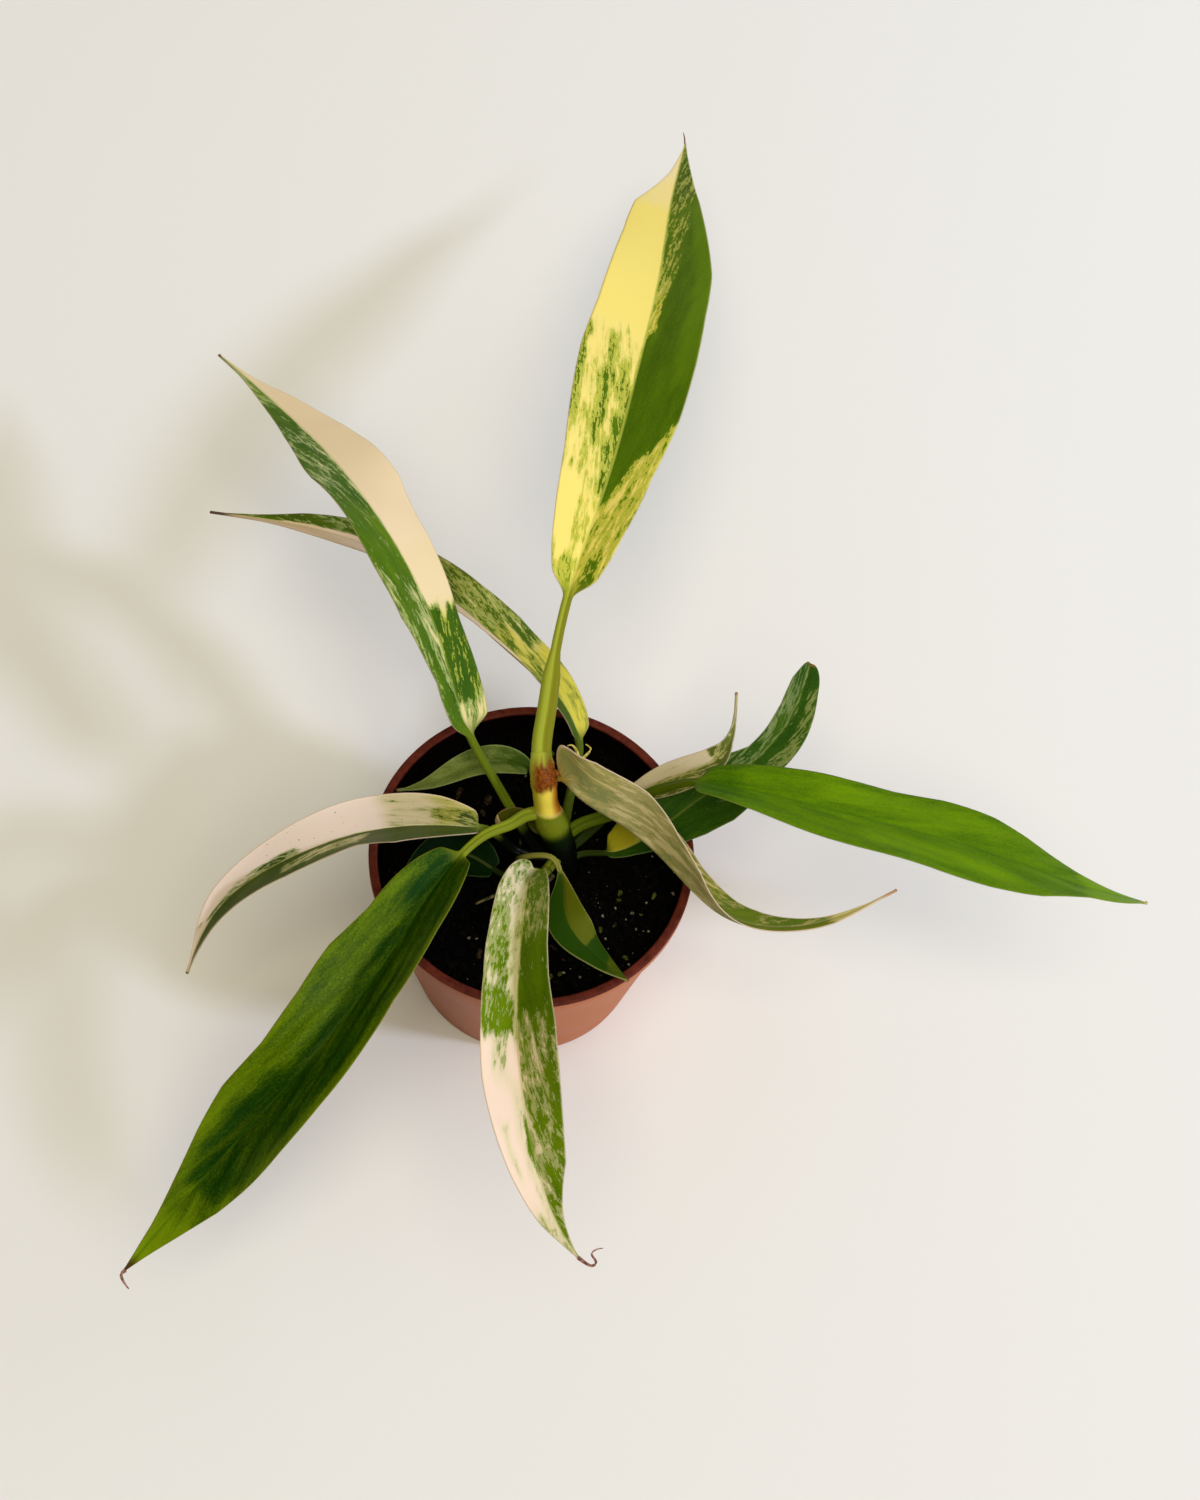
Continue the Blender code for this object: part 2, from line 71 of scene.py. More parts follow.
# %% A function that adds one shader node
def add_node(tree, kind, inputs=None, **settings):
    """Add a node of that kind. inputs maps a socket's name or number to a value or to an output to link."""
    new = tree.nodes.new("ShaderNode" + kind)
    for name, value in settings.items():
        setattr(new, name, value)
    for key, value in (inputs or {}).items():
        socket = new.inputs[key]
        if isinstance(value, bpy.types.Node):
            value = value.outputs[0]
        if isinstance(value, bpy.types.NodeSocket):
            tree.links.new(value, socket)
        else:
            socket.default_value = value
    return new


def new_finish(name):
    """A material with only its Principled shader, and that shader."""
    finish = bpy.data.materials.new(name)
    finish.use_nodes = True
    return finish, finish.node_tree, finish.node_tree.nodes["Principled BSDF"]


print("node helper ready")

# %% [markdown]
# ## Camera
# The photograph looks steeply down on the plant from the front, a little turned. The camera stands about a
# metre above the floor. Its place came from matching the ellipses of the pot's rim and base, with the pot taken
# to be a common 12 cm one. So did its lens: 60 mm over a frame of 36 mm is 2500 pixels over a side of 1500.

# %% Camera
CAMERA_PLACE = (20, -355, 945)
CAMERA_DOWN = 64.8
CAMERA_ROLL = 7.4
CAMERA_LENS = 60
CAMERA_FRAME = 36

camera = bpy.data.objects.new("camera", bpy.data.cameras.new("camera"))
camera.data.lens = CAMERA_LENS
camera.data.sensor_width = CAMERA_FRAME
tilt = Matrix.Rotation(math.radians(90 - CAMERA_DOWN), 4, "X")
roll = Matrix.Rotation(math.radians(CAMERA_ROLL), 4, "Z")
camera.matrix_world = Matrix.Translation(Vector(CAMERA_PLACE) * MM) @ tilt @ roll
bpy.context.scene.collection.objects.link(camera)
bpy.context.scene.camera = camera
print("camera looks down by", CAMERA_DOWN, "degrees")

# %% [markdown]
# ## Light and floor
# The photograph's light is daylight from a window on the right, about 40 degrees up, with long pale shadows
# to the left that look warm against it. Four sources give that: a far cool lamp that draws the shadows, a wide
# near glow that makes the floor fade to the left, a broad warm light high up behind the camera that keeps the
# floor bright up to the pot, and a dim warm room that is a little brighter on the window's side. The lamp's
# direction comes from the shadows. The other three were found by trial, until the floor's tones came close.

# %% Light and floor
LIGHT_FROM = Vector((0.755, -0.133, 0.643))
LIGHT_DISTANCE = 5.0
LIGHT_SIZE = 0.6
LIGHT_POWER = 100
GLOW_PLACE = Vector((1.3, 0.7, 1.0))
GLOW_SIZE = 1.6
GLOW_POWER = 10
CEILING_PLACE = Vector((0.4, -2.5, 7.05))
CEILING_SIZE = 4.5
CEILING_POWER = 272
ROOM_BRIGHT_SIDE = Vector((0.80, -0.25, 0.55))
ROOM_LOW, ROOM_HIGH = 0.12, 0.36


def add_lamp(name, place, size, power, colour):
    """A round area light at a place in metres that shines at the origin."""
    lamp = bpy.data.objects.new(name, bpy.data.lights.new(name, "AREA"))
    lamp.data.shape = "DISK"
    lamp.data.size = size
    lamp.data.energy = power
    lamp.data.color = hex_colour(colour)[:3]
    lamp.matrix_world = Matrix.Translation(place) @ place.to_track_quat("Z", "Y").to_matrix().to_4x4()
    bpy.context.scene.collection.objects.link(lamp)


add_lamp("window_light", LIGHT_FROM * LIGHT_DISTANCE, LIGHT_SIZE, LIGHT_POWER, "D0D7FF")
add_lamp("window_glow", GLOW_PLACE, GLOW_SIZE, GLOW_POWER, "CAE0FF")
add_lamp("ceiling_light", CEILING_PLACE, CEILING_SIZE, CEILING_POWER, "FFF7E3")

room = bpy.data.worlds.new("room")
room.use_nodes = True
tree = room.node_tree
heading = add_node(tree, "TexCoord").outputs["Generated"]
toward = add_node(tree, "VectorMath", {0: heading, 1: ROOM_BRIGHT_SIDE}, operation="DOT_PRODUCT")
strength = add_node(tree, "MapRange", {0: toward.outputs["Value"], 1: -1.0, 2: 1.0, 3: ROOM_LOW, 4: ROOM_HIGH})
tree.links.new(strength.outputs[0], tree.nodes["Background"].inputs["Strength"])
tree.nodes["Background"].inputs["Color"].default_value = hex_colour("FCF7DC")
bpy.context.scene.world = room
bpy.context.scene.view_settings.view_transform = "Standard"

FLOOR_HALF = 3.0
corners = [(-FLOOR_HALF, -FLOOR_HALF, 0), (FLOOR_HALF, -FLOOR_HALF, 0), (FLOOR_HALF, FLOOR_HALF, 0),
           (-FLOOR_HALF, FLOOR_HALF, 0)]
floor_mesh = bpy.data.meshes.new("floor")
floor_mesh.from_pydata(corners, [], [(0, 1, 2, 3)])
floor = bpy.data.objects.new("floor", floor_mesh)
bpy.context.scene.collection.objects.link(floor)
paint, tree, shader = new_finish("matt_painted_board")
shader.inputs["Base Color"].default_value = hex_colour("F0EDE6")
shader.inputs["Roughness"].default_value = 0.9
shader.inputs["Specular IOR Level"].default_value = 0.1
floor_mesh.materials.append(paint)
print("floor", 2 * FLOOR_HALF, "m wide, light", LIGHT_DISTANCE, "m away")

# %% [markdown]
# ## Surfaces on a grid
# Every living piece here is a ring of points carried along a path: a stalk's ring is an ellipse and a leaf's is a
# thin folded strip. A grid of such rings becomes one closed mesh, with a flat cap at each end.


# %% Grid to mesh
def ring_faces(rows, size):
    """Quads between neighbouring rings, and between a ring's last and first point."""
    row, column = np.meshgrid(np.arange(rows - 1), np.arange(size), indexing="ij")
    beside = (column + 1) % size
    corner = [row * size + column, row * size + beside, (row + 1) * size + beside, (row + 1) * size + column]
    return np.stack(corner, axis=-1).reshape(-1, 4)


def rings_object(name, rings, values=None, uv=None):
    """A closed object through rings of points in mm, with a value per point for each name in values, and
    uv coordinates per corner of the quads."""
    rows, size = rings.shape[:2]
    faces = ring_faces(rows, size).tolist()
    faces += [tuple(range(size))[::-1], tuple(range((rows - 1) * size, rows * size))]
    mesh = bpy.data.meshes.new(name)
    mesh.from_pydata((rings.reshape(-1, 3) * MM).tolist(), [], faces)
    for key, value in (values or {}).items():
        kind = "FLOAT_VECTOR" if value.ndim == 3 else "FLOAT"
        layer = mesh.attributes.new(key, kind, "POINT")
        layer.data.foreach_set("vector" if value.ndim == 3 else "value", value.astype(np.float32).ravel())
    if uv is not None:
        flat = np.zeros((len(mesh.loops), 2), np.float32)
        flat[:uv.size // 2] = uv.reshape(-1, 2)
        mesh.uv_layers.new(name="veins").data.foreach_set("uv", flat.ravel())
    mesh.shade_smooth()
    new = bpy.data.objects.new(name, mesh)
    bpy.context.scene.collection.objects.link(new)
    return new


def finished(piece, finish, slot, *nodes):
    """Give a piece its material, let it ride with the plant and stand for its CAD nodes. slot is not used."""
    piece.data.materials.append(finish)
    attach(piece, "root")
    if nodes:
        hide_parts(*nodes)


print("grid helper ready")

# %% [markdown]
# A stalk or a midrib is read from the photograph at a few points. A natural cubic spline is the curve that a
# thin springy strip takes through them, so it has no kinks and no more bends than it needs.


# %% Smooth paths
def smooth_path(points, count):
    """Even points on the natural cubic spline through the given ones, and where those lie as shares of it.

    The spline's bends at its inner points come from one linear system, and are zero at both ends."""
    points = np.array(points, float)
    knots = np.concatenate([[0.0], np.cumsum(np.linalg.norm(np.diff(points, axis=0), axis=1))])
    step = np.diff(knots)
    size = len(points)
    system = np.eye(size)
    bend = np.zeros((size, 3))
    for i in range(1, size - 1):
        system[i, i - 1:i + 2] = step[i - 1], 2 * (step[i - 1] + step[i]), step[i]
        bend[i] = 6 * ((points[i + 1] - points[i]) / step[i] - (points[i] - points[i - 1]) / step[i - 1])
    second = np.linalg.solve(system, bend)

    def at(place):
        """Points at those distances: straight between two knots, plus the cubic share of the bend at each."""
        i = np.clip(np.searchsorted(knots, place, side="right") - 1, 0, size - 2)
        h = step[i][:, None]
        a = (knots[i + 1] - place)[:, None] / h
        b = 1 - a
        straight = a * points[i] + b * points[i + 1]
        return straight + ((a ** 3 - a) * second[i] + (b ** 3 - b) * second[i + 1]) * h ** 2 / 6

    fine = np.linspace(0, knots[-1], 800)
    length = np.concatenate([[0.0], np.cumsum(np.linalg.norm(np.diff(at(fine), axis=0), axis=1))])
    shares = np.interp(knots, fine, length) / length[-1]
    return at(np.interp(np.linspace(0, length[-1], count), length, fine)), shares


def unit(vectors):
    """Each vector divided by its own length."""
    return vectors / np.linalg.norm(vectors, axis=-1, keepdims=True)


def step_up(value, low, high):
    """0 below low, 1 above high, and a smooth S between them."""
    share = np.clip((value - low) / (high - low), 0, 1)
    return share * share * (3 - 2 * share)


def path_frame(line, start_side=(1.0, 0.0, 0.0)):
    """Ahead, side and up directions along a line. The side stays as near as it can to start_side."""
    ahead = unit(np.gradient(line, axis=0))
    side = np.array(start_side) - ahead * (ahead @ np.array(start_side))[:, None]
    side = unit(side)
    return ahead, side, np.cross(side, ahead)


def round_rings(line, side, up, radius, sides, flat=1.0):
    """Rings about a line: radius times (cosine along side plus flat times sine along up), at even angles."""
    angle = np.linspace(0, 2 * math.pi, sides, endpoint=False)[None, :, None]
    spokes = np.cos(angle) * side[:, None] + flat * np.sin(angle) * up[:, None]
    return line[:, None] + radius[..., None] * spokes


def tube(name, points, radii, flat=1.0, rows=40, sides=12):
    """A closed tube along a smooth path. Its rings are circles squashed by flat, with radii at even places."""
    line, _ = smooth_path(points, rows)
    _, side, up = path_frame(line, (0.31, 0.83, 0.47))
    radius = np.interp(np.linspace(0, 1, rows), np.linspace(0, 1, len(radii)), radii)[:, None]
    return rings_object(name, round_rings(line, side, up, radius, sides, flat)[:, ::-1])


print("path helpers ready")

# %% [markdown]
# Nothing that grew or crumbled is even. Noise on a lattice, from a seeded draw, gives the same uneven surface
# at every run, and its spacing in millimetres says how coarse it is.


# %% Seeded noise for numpy surfaces
def soft_noise(x, y, size, seed):
    """Smooth noise from -1 to 1: random values on a lattice with that spacing, blended with an S curve."""
    table = np.random.default_rng(seed).uniform(-1, 1, (64, 64))
    x, y = np.asarray(x, float) / size + 17.3, np.asarray(y, float) / size + 29.7
    column, row = np.floor(x).astype(int), np.floor(y).astype(int)
    a, b = step_up(x - column, 0, 1), step_up(y - row, 0, 1)
    corner = [table[(row + i) % 64, (column + j) % 64] for i in (0, 1) for j in (0, 1)]
    return (corner[0] * (1 - a) + corner[1] * a) * (1 - b) + (corner[2] * (1 - a) + corner[3] * a) * b


print("noise of 1 mm spacing at the origin:", round(float(soft_noise(0, 0, 1, 3)), 3))

# %% [markdown]
# ## The pot
# The pot is a thin polypropylene grower pot, injection moulded in one piece. It is a turned shape, so a profile
# carried round Z makes it, with rounded lip edges that catch the light. Its drain holes are cut out afterwards.

# %% Pot surface
POT_HEIGHT = 95.0
POT_TOP_RADIUS = 60.0
POT_BASE_RADIUS = 45.0
WALL = 1.6
FLOOR_THICKNESS = 2.4
LIP_WIDTH = 3.4
LIP_HEIGHT = 4.5
LIP_STEP = 0.8
LIP_ROUND, LIP_UNDER_ROUND = 0.9, 0.4
FOOT_ROUND, INNER_ROUND = 1.4, 3.0
INNER_BELOW_LIP, OUTER_BELOW_LIP = 3.0, 0.9
POLE_RADIUS, FLOOR_RING = 0.05, 20.0
TURN_STEPS = 180
DRAIN_HOLES, DRAIN_RADIUS, DRAIN_CIRCLE = 6, 3.5, 30.0
SLOPE = (POT_TOP_RADIUS - POT_BASE_RADIUS - LIP_STEP) / POT_HEIGHT


def arc(centre, radius, start, end, count=6):
    """Points on a quarter circle, from start to end degrees, about a centre of (radius, height)."""
    angle = np.radians(np.linspace(start, end, count))
    return [(centre[0] + radius * math.cos(a), centre[1] + radius * math.sin(a)) for a in angle]


def turned_rings(profile, steps):
    """Rings for a profile of (radius, height) points that runs up the inside and down the outside."""
    radius, height = np.array(profile).T
    angle = np.linspace(0, 2 * math.pi, steps, endpoint=False)
    flat = radius[:, None, None] * np.stack([np.cos(angle), np.sin(angle)], axis=-1)[None]
    return np.concatenate([flat, np.broadcast_to(height[:, None, None], (*flat.shape[:2], 1))], axis=-1)


def cut_round_holes(piece, holes):
    """Cut upright round holes, each (centre x, centre y, radius, bottom, top, sides) with sizes in mm."""
    for x, y, radius, bottom, top, sides in holes:
        bpy.ops.mesh.primitive_cylinder_add(
            vertices=sides, radius=radius * MM, depth=(top - bottom) * MM,
            location=(x * MM, y * MM, (top + bottom) / 2 * MM))
        tool = bpy.context.object
        change = piece.modifiers.new("hole", "BOOLEAN")
        change.object = tool
        bpy.context.view_layer.update()
        cut = bpy.data.meshes.new_from_object(piece.evaluated_get(bpy.context.evaluated_depsgraph_get()))
        piece.modifiers.clear()
        piece.data = cut
        bpy.data.objects.remove(tool, do_unlink=True)


LIP_BOTTOM = POT_HEIGHT - LIP_HEIGHT
LIP_INSIDE = POT_TOP_RADIUS - LIP_WIDTH
inner_bottom = FLOOR_THICKNESS + INNER_ROUND
lip_round_height = POT_HEIGHT - LIP_ROUND
inner_heights = np.linspace(inner_bottom, LIP_BOTTOM - INNER_BELOW_LIP, 12)
outer_heights = np.linspace(LIP_BOTTOM - OUTER_BELOW_LIP, FOOT_ROUND, 16)
inner = [(POT_BASE_RADIUS + SLOPE * h - WALL, h) for h in inner_heights]
outer = [(POT_BASE_RADIUS + SLOPE * h, h) for h in outer_heights]
under_lip = (POT_TOP_RADIUS - LIP_UNDER_ROUND, LIP_BOTTOM + LIP_UNDER_ROUND)
pot_profile = [(POLE_RADIUS, FLOOR_THICKNESS), (FLOOR_RING, FLOOR_THICKNESS)]
pot_profile += arc((inner[0][0] - INNER_ROUND, inner_bottom), INNER_ROUND, -90, 0) + inner[1:]
pot_profile += [(LIP_INSIDE, LIP_BOTTOM)]
pot_profile += arc((LIP_INSIDE + LIP_ROUND, lip_round_height), LIP_ROUND, 180, 90)
pot_profile += arc((POT_TOP_RADIUS - LIP_ROUND, lip_round_height), LIP_ROUND, 90, 0)
pot_profile += arc(under_lip, LIP_UNDER_ROUND, 0, -90, 4) + outer
pot_profile += arc((outer[-1][0] - FOOT_ROUND, FOOT_ROUND), FOOT_ROUND, 0, -90)
pot_profile += [(FLOOR_RING, 0), (POLE_RADIUS, 0)]
pot = rings_object("grower_pot", turned_rings(pot_profile, TURN_STEPS))
drain_angles = [2 * math.pi * number / DRAIN_HOLES for number in range(DRAIN_HOLES)]
cut_round_holes(pot, [(DRAIN_CIRCLE * math.cos(a), DRAIN_CIRCLE * math.sin(a), DRAIN_RADIUS, -2, 5, 24)
                      for a in drain_angles])
pot.data.set_sharp_from_angle(angle=math.radians(40))
print("pot:", len(pot.data.polygons), "faces,", len(pot_profile), "points in its profile")

# %% [markdown]
# Coloured polypropylene is dyed through, so its wall has one colour with a faint satin sheen, slightly paler
# where dust and lime have dried on it. Its left side is painted darker, as painted shade. The lip is painted a
# darker red, and the inside is painted nearly black, as painted shade.

# %% Pot finish
plastic, tree, shader = new_finish("moulded_polypropylene")
where = add_node(tree, "TexCoord").outputs["Object"]
x, y, z = add_node(tree, "SeparateXYZ", {0: where}).outputs
from_axis = add_node(tree, "CombineXYZ", {0: x, 1: y})
reach = add_node(tree, "VectorMath", {0: from_axis}, operation="LENGTH").outputs["Value"]
lean = add_node(tree, "Math", {0: z, 1: -SLOPE, 2: reach}, operation="MULTIPLY_ADD")
inside = add_node(tree, "MapRange", {0: lean, 1: 0.0448, 2: 0.0442}, interpolation_type="SMOOTHSTEP")
top = add_node(tree, "MapRange", {0: z, 1: 0.0938, 2: 0.0946}, interpolation_type="SMOOTHSTEP")
lip_or_shaded_inside = add_node(tree, "Math", {0: inside, 1: top}, operation="MAXIMUM")
cloud = add_node(tree, "TexNoise", {"Vector": where, "Scale": 45.0, "Detail": 4.0})
dust = add_node(tree, "TexNoise", {"Vector": where, "Scale": 900.0, "Detail": 2.0})
wall = add_node(tree, "MixRGB", {0: cloud.outputs["Fac"], 1: hex_colour("B86A42"), 2: hex_colour("C87A4E")})
dusty = add_node(tree, "MapRange", {0: dust.outputs["Fac"], 1: 0.58, 2: 0.75, 4: 0.2})
wall = add_node(tree, "MixRGB", {0: dusty, 1: wall, 2: hex_colour("D49A78")})
# Painted shade: the wall darkens towards its left side.
painted_shade_left = add_node(tree, "MapRange", {0: x, 1: 0.012, 2: -0.03, 4: 0.7}, interpolation_type="SMOOTHSTEP")
wall = add_node(tree, "MixRGB", {0: painted_shade_left, 1: wall, 2: hex_colour("74422C")})
dark_mottle_noise = add_node(tree, "TexNoise", {"Vector": where, "Scale": 320.0, "Detail": 5.0, "Roughness": 0.7})
dark_mottle = add_node(tree, "MapRange", {0: dark_mottle_noise.outputs["Fac"], 1: 0.40, 2: 0.70})
# The lip is painted a darker red-brown, and the inside nearly black as painted shade; noise mottles both.
rim = add_node(tree, "MixRGB", {0: dark_mottle, 1: hex_colour("66281A"), 2: hex_colour("42180E")})
painted_shade_inside = add_node(tree, "MixRGB", {0: dark_mottle, 1: hex_colour("0C0302"), 2: hex_colour("050201")})
lip_and_shaded_inside = add_node(tree, "MixRGB", {0: top, 1: painted_shade_inside, 2: rim})
colour = add_node(tree, "MixRGB", {0: lip_or_shaded_inside, 1: wall, 2: lip_and_shaded_inside})
tree.links.new(colour.outputs[0], shader.inputs["Base Color"])
rough = add_node(tree, "MapRange", {0: cloud.outputs["Fac"], 1: 0.3, 2: 0.7, 3: 0.42, 4: 0.56})
tree.links.new(rough.outputs[0], shader.inputs["Roughness"])
bump = add_node(tree, "Bump", {"Strength": 0.25, "Distance": 0.0002, "Height": dust.outputs["Fac"]})
tree.links.new(bump.outputs[0], shader.inputs["Normal"])
shader.inputs["IOR"].default_value = 1.49
shader.inputs["Specular IOR Level"].default_value = 0.1
finished(pot, plastic, "terracotta_plastic", "pot")
print("pot finish:", len(tree.nodes), "nodes")

# %% [markdown]
# ## The soil
# Potting soil is dark, moist peat with crumbs, bits of bark and white perlite. The plug's uneven top is a polar
# grid raised by broad waves and two sizes of noise, and the loose bits are small angular lumps strewn over it
# by a seeded draw.

# %% Soil surface
GAP = 0.3
SOIL_LEVEL = 84.0
SOIL_CROWN = 1.5
STEM_FOOT = (11.5, -0.6)
STEM_HOLE_RADIUS, STEM_HOLE_BOTTOM = 6.6, 59.7
SHOOT_FOOT = (-8.0, -2.5)
SHOOT_HOLE_RADIUS, SHOOT_HOLE_BOTTOM = 1.7, 76
soil_edge = POT_BASE_RADIUS - WALL - 2 * GAP + SLOPE * SOIL_LEVEL


def soil_height(x, y):
    """Height of the soil's top in mm: its level, plus broad waves and two sizes of noise that fade out at the
    wall, plus a crown that falls with the square of the distance from the middle."""
    far = np.hypot(x, y) / soil_edge
    broad = np.sin(x / 5.1 + 1.3 * np.sin(y / 9.0)) * np.cos(y / 6.3 + 0.8)
    lumps = 0.7 * broad + 0.8 * soft_noise(x, y, 3.1, 5) + 0.45 * soft_noise(x, y, 1.2, 6)
    return SOIL_LEVEL + lumps * (1 - far ** 6) + SOIL_CROWN * (0.6 - far ** 2)


SOIL_ROWS, SOIL_STEPS = 90, 220
radius = np.linspace(POLE_RADIUS, soil_edge, SOIL_ROWS)
angle = np.linspace(0, 2 * math.pi, SOIL_STEPS, endpoint=False)
x_top, y_top = radius[:, None] * np.cos(angle), radius[:, None] * np.sin(angle)
top_rings = np.stack([x_top, y_top, soil_height(x_top, y_top)], axis=-1)
bottom = FLOOR_THICKNESS + GAP
side = POT_BASE_RADIUS - WALL - 2 * GAP
under_profile = [(side + SLOPE * 40, 40), (side + SLOPE * bottom - 1, bottom + 2), (side - 3, bottom),
                 (POLE_RADIUS, bottom)]
under_rings = turned_rings(under_profile, SOIL_STEPS)
soil = rings_object("potting_soil", np.concatenate([top_rings, under_rings]))
cut_round_holes(soil, [(*STEM_FOOT, STEM_HOLE_RADIUS, STEM_HOLE_BOTTOM, POT_HEIGHT, 32),
                       (*SHOOT_FOOT, SHOOT_HOLE_RADIUS, SHOOT_HOLE_BOTTOM, POT_HEIGHT, 16)])
soil.data.set_sharp_from_angle(angle=math.radians(60))
print("soil:", len(soil.data.polygons), "faces, edge radius", round(soil_edge, 1), "mm")

# %% Loose bits on the soil
STEM_CLEARANCE = 9.0
EDGE_SHARE = 0.985


def lump_shape(rng):
    """The 12 corners of an icosahedron, each pushed in or out a little."""
    golden = (1 + 5 ** 0.5) / 2
    corner = [(0, a, b * golden) for a in (-1, 1) for b in (-1, 1)]
    corner += [(a, b * golden, 0) for a in (-1, 1) for b in (-1, 1)]
    corner += [(a * golden, 0, b) for a in (-1, 1) for b in (-1, 1)]
    return unit(np.array(corner, float)) * rng.uniform(0.75, 1.25, (12, 1))


def strew(name, seed, count, sizes, aspect, keep, sink=0.25):
    """Lumps strewn on the soil where the keep function allows: each is a convex lump, stretched, turned, and
    sunk by a share of its size. sizes are its smallest and largest radius in mm."""
    rng = np.random.default_rng(seed)
    shape = bmesh.new()
    made = 0
    while made < count:
        away, turn = soil_edge * EDGE_SHARE * math.sqrt(rng.random()), rng.uniform(0, 2 * math.pi)
        x, y = away * math.cos(turn), away * math.sin(turn)
        if math.hypot(x - STEM_FOOT[0], y - STEM_FOOT[1]) < STEM_CLEARANCE or rng.random() > keep(x, y):
            continue
        size = sizes[0] + (sizes[1] - sizes[0]) * rng.random() ** 2.5
        points = lump_shape(rng) * size * np.array([aspect, 1, rng.uniform(0.5, 0.9)])
        spin, tip = rng.uniform(0, 2 * math.pi), rng.uniform(-0.5, 0.5)
        turned = np.array(Matrix.Rotation(spin, 3, "Z") @ Matrix.Rotation(tip, 3, "Y"))
        points = points @ turned.T + (x, y, soil_height(x, y) + size * (0.5 - sink))
        corner = [shape.verts.new(point * MM) for point in points]
        bmesh.ops.convex_hull(shape, input=corner)
        made += 1
    bmesh.ops.recalc_face_normals(shape, faces=shape.faces)
    mesh = bpy.data.meshes.new(name)
    shape.to_mesh(mesh)
    shape.free()
    piece = bpy.data.objects.new(name, mesh)
    bpy.context.scene.collection.objects.link(piece)
    print(name, "has", made, "bits and", len(mesh.polygons), "faces")
    return piece


def everywhere(x, y):
    """Every bit is kept."""
    return 1.0


def front_right(x, y):
    """Most perlite has washed to the right and to the front edge."""
    return 0.25 + 0.75 * step_up(x - y, 0, 45)


crumbs = strew("peat_crumbs", 11, 1500, (0.35, 1.5), 1.3, everywhere)
perlite = strew("perlite", 12, 130, (0.12, 0.65), 1.3, front_right, sink=0.1)
bark = strew("bark_chips", 13, 46, (0.4, 1.7), 2.6, everywhere, sink=0.05)
moss = strew("moss_specks", 14, 34, (0.2, 1.1), 1.8, front_right, sink=0.1)

# %% [markdown]
# Wet peat is almost black and swallows light, and here its tones are darker still, as painted shade in the
# pot. Perlite is foamed volcanic glass, matt and nearly white but stained by the peat. Bark chips are a dull
# brown, and specks of moss a dull green.


# %% Soil finishes
def mottled_finish(name, dark, light, spacing, rough, shine, grain=(6.0, 0.65), most=0.68,
                   relief=(0.8, 0.0004)):
    """A rough, mottled surface: two tones mixed by noise of that spacing in mm, which raises its bumps too.

    grain is the noise's detail and roughness, most the noise at which the light tone is full, and relief the
    strength and height in metres of the bumps."""
    finish, tree, shader = new_finish(name)
    where = add_node(tree, "TexCoord").outputs["Object"]
    noise = add_node(tree, "TexNoise", {"Vector": where, "Scale": 1000 / spacing, "Detail": grain[0],
                                        "Roughness": grain[1]}).outputs["Fac"]
    share = add_node(tree, "MapRange", {0: noise, 1: 0.38, 2: most})
    colour = add_node(tree, "MixRGB", {0: share, 1: hex_colour(dark), 2: hex_colour(light)})
    tree.links.new(colour.outputs[0], shader.inputs["Base Color"])
    bump = add_node(tree, "Bump", {"Strength": relief[0], "Distance": relief[1], "Height": noise})
    tree.links.new(bump.outputs[0], shader.inputs["Normal"])
    shader.inputs["Roughness"].default_value = rough
    shader.inputs["Specular IOR Level"].default_value = shine
    return finish


# The peat and its crumbs are painted darker than peat itself, as painted shade inside the pot.
finished(soil, mottled_finish("moist_peat", "010101", "0A0806", 1.6, 0.95, 0.02), "peat_soil", "soil")
finished(crumbs, mottled_finish("peat_crumb", "010101", "140E08", 1.1, 0.9, 0.03), "peat_soil")
finished(perlite, mottled_finish("stained_perlite", "2C2A1E", "9C927A", 2.6, 0.8, 0.05), "peat_soil")
finished(bark, mottled_finish("bark_chip", "120C06", "4A3C24", 1.2, 0.85, 0.05), "peat_soil")
finished(moss, mottled_finish("damp_moss", "141A06", "5E6428", 2.2, 0.9, 0.02), "peat_soil")
print("soil finishes:", [piece.data.materials[0].name for piece in (soil, crumbs, perlite, bark, moss)])

# %% [markdown]
# ## The stem
# The short stem leans to the left as it climbs. Its lowest part is dark green, painted almost black
# near the soil as painted shade. The front leaf's olive base clasps it like a cuff with a pale upper edge, a
# golden joint shows above that, painted lighter on its right as painted light, and the top node is brown
# and corky.
# It is a tube whose radius changes with height and, at the cuff, also with the angle round it.

# %% Stem surface
STEM = [(11.5, -1, 60), (11.5, -1, 74), (11.5, -0.5, 86), (9.5, 5, 96), (5.6, 9.2, 105), (2.8, 12.9, 114),
        (1.4, 17, 121.5), (0, 21.5, 125), (-0.9, 26, 127.2)]
STEM_RADIUS = [5.9, 5.9, 6.0, 5.8, 5.5, 4.4, 4.6, 4.3, 3.75]
CUFF_TOP = 110.0
NODE_HEIGHT = 122.6

rows, sides = 150, 64
line, shares = smooth_path(STEM, rows)
_, side, up = path_frame(line)
angle = np.linspace(0, 2 * math.pi, sides, endpoint=False)
height = np.broadcast_to(line[:, 2:3], (rows, sides))
wrinkle = soft_noise(angle[None] * 9 + 0 * height, height * 2.2, 1.0, 21)
ragged = height + 0.9 * soft_noise(angle[None] * 5 + 0 * height, height * 0.6, 1.0, 22)
cuff_edge = CUFF_TOP + 1.3 * np.cos(angle - 2.6)[None]
cuff = step_up(cuff_edge - height, -0.5, 0.5) * step_up(height, 99, 104)
scar = np.exp(-((height - cuff_edge - 0.5) / 0.3) ** 2)
cork = step_up(ragged, NODE_HEIGHT - 3.2, NODE_HEIGHT - 1.2) * step_up(NODE_HEIGHT + 4.2 - ragged, 0, 2.6)
radius = np.interp(np.linspace(0, 1, rows), shares, STEM_RADIUS)[:, None]
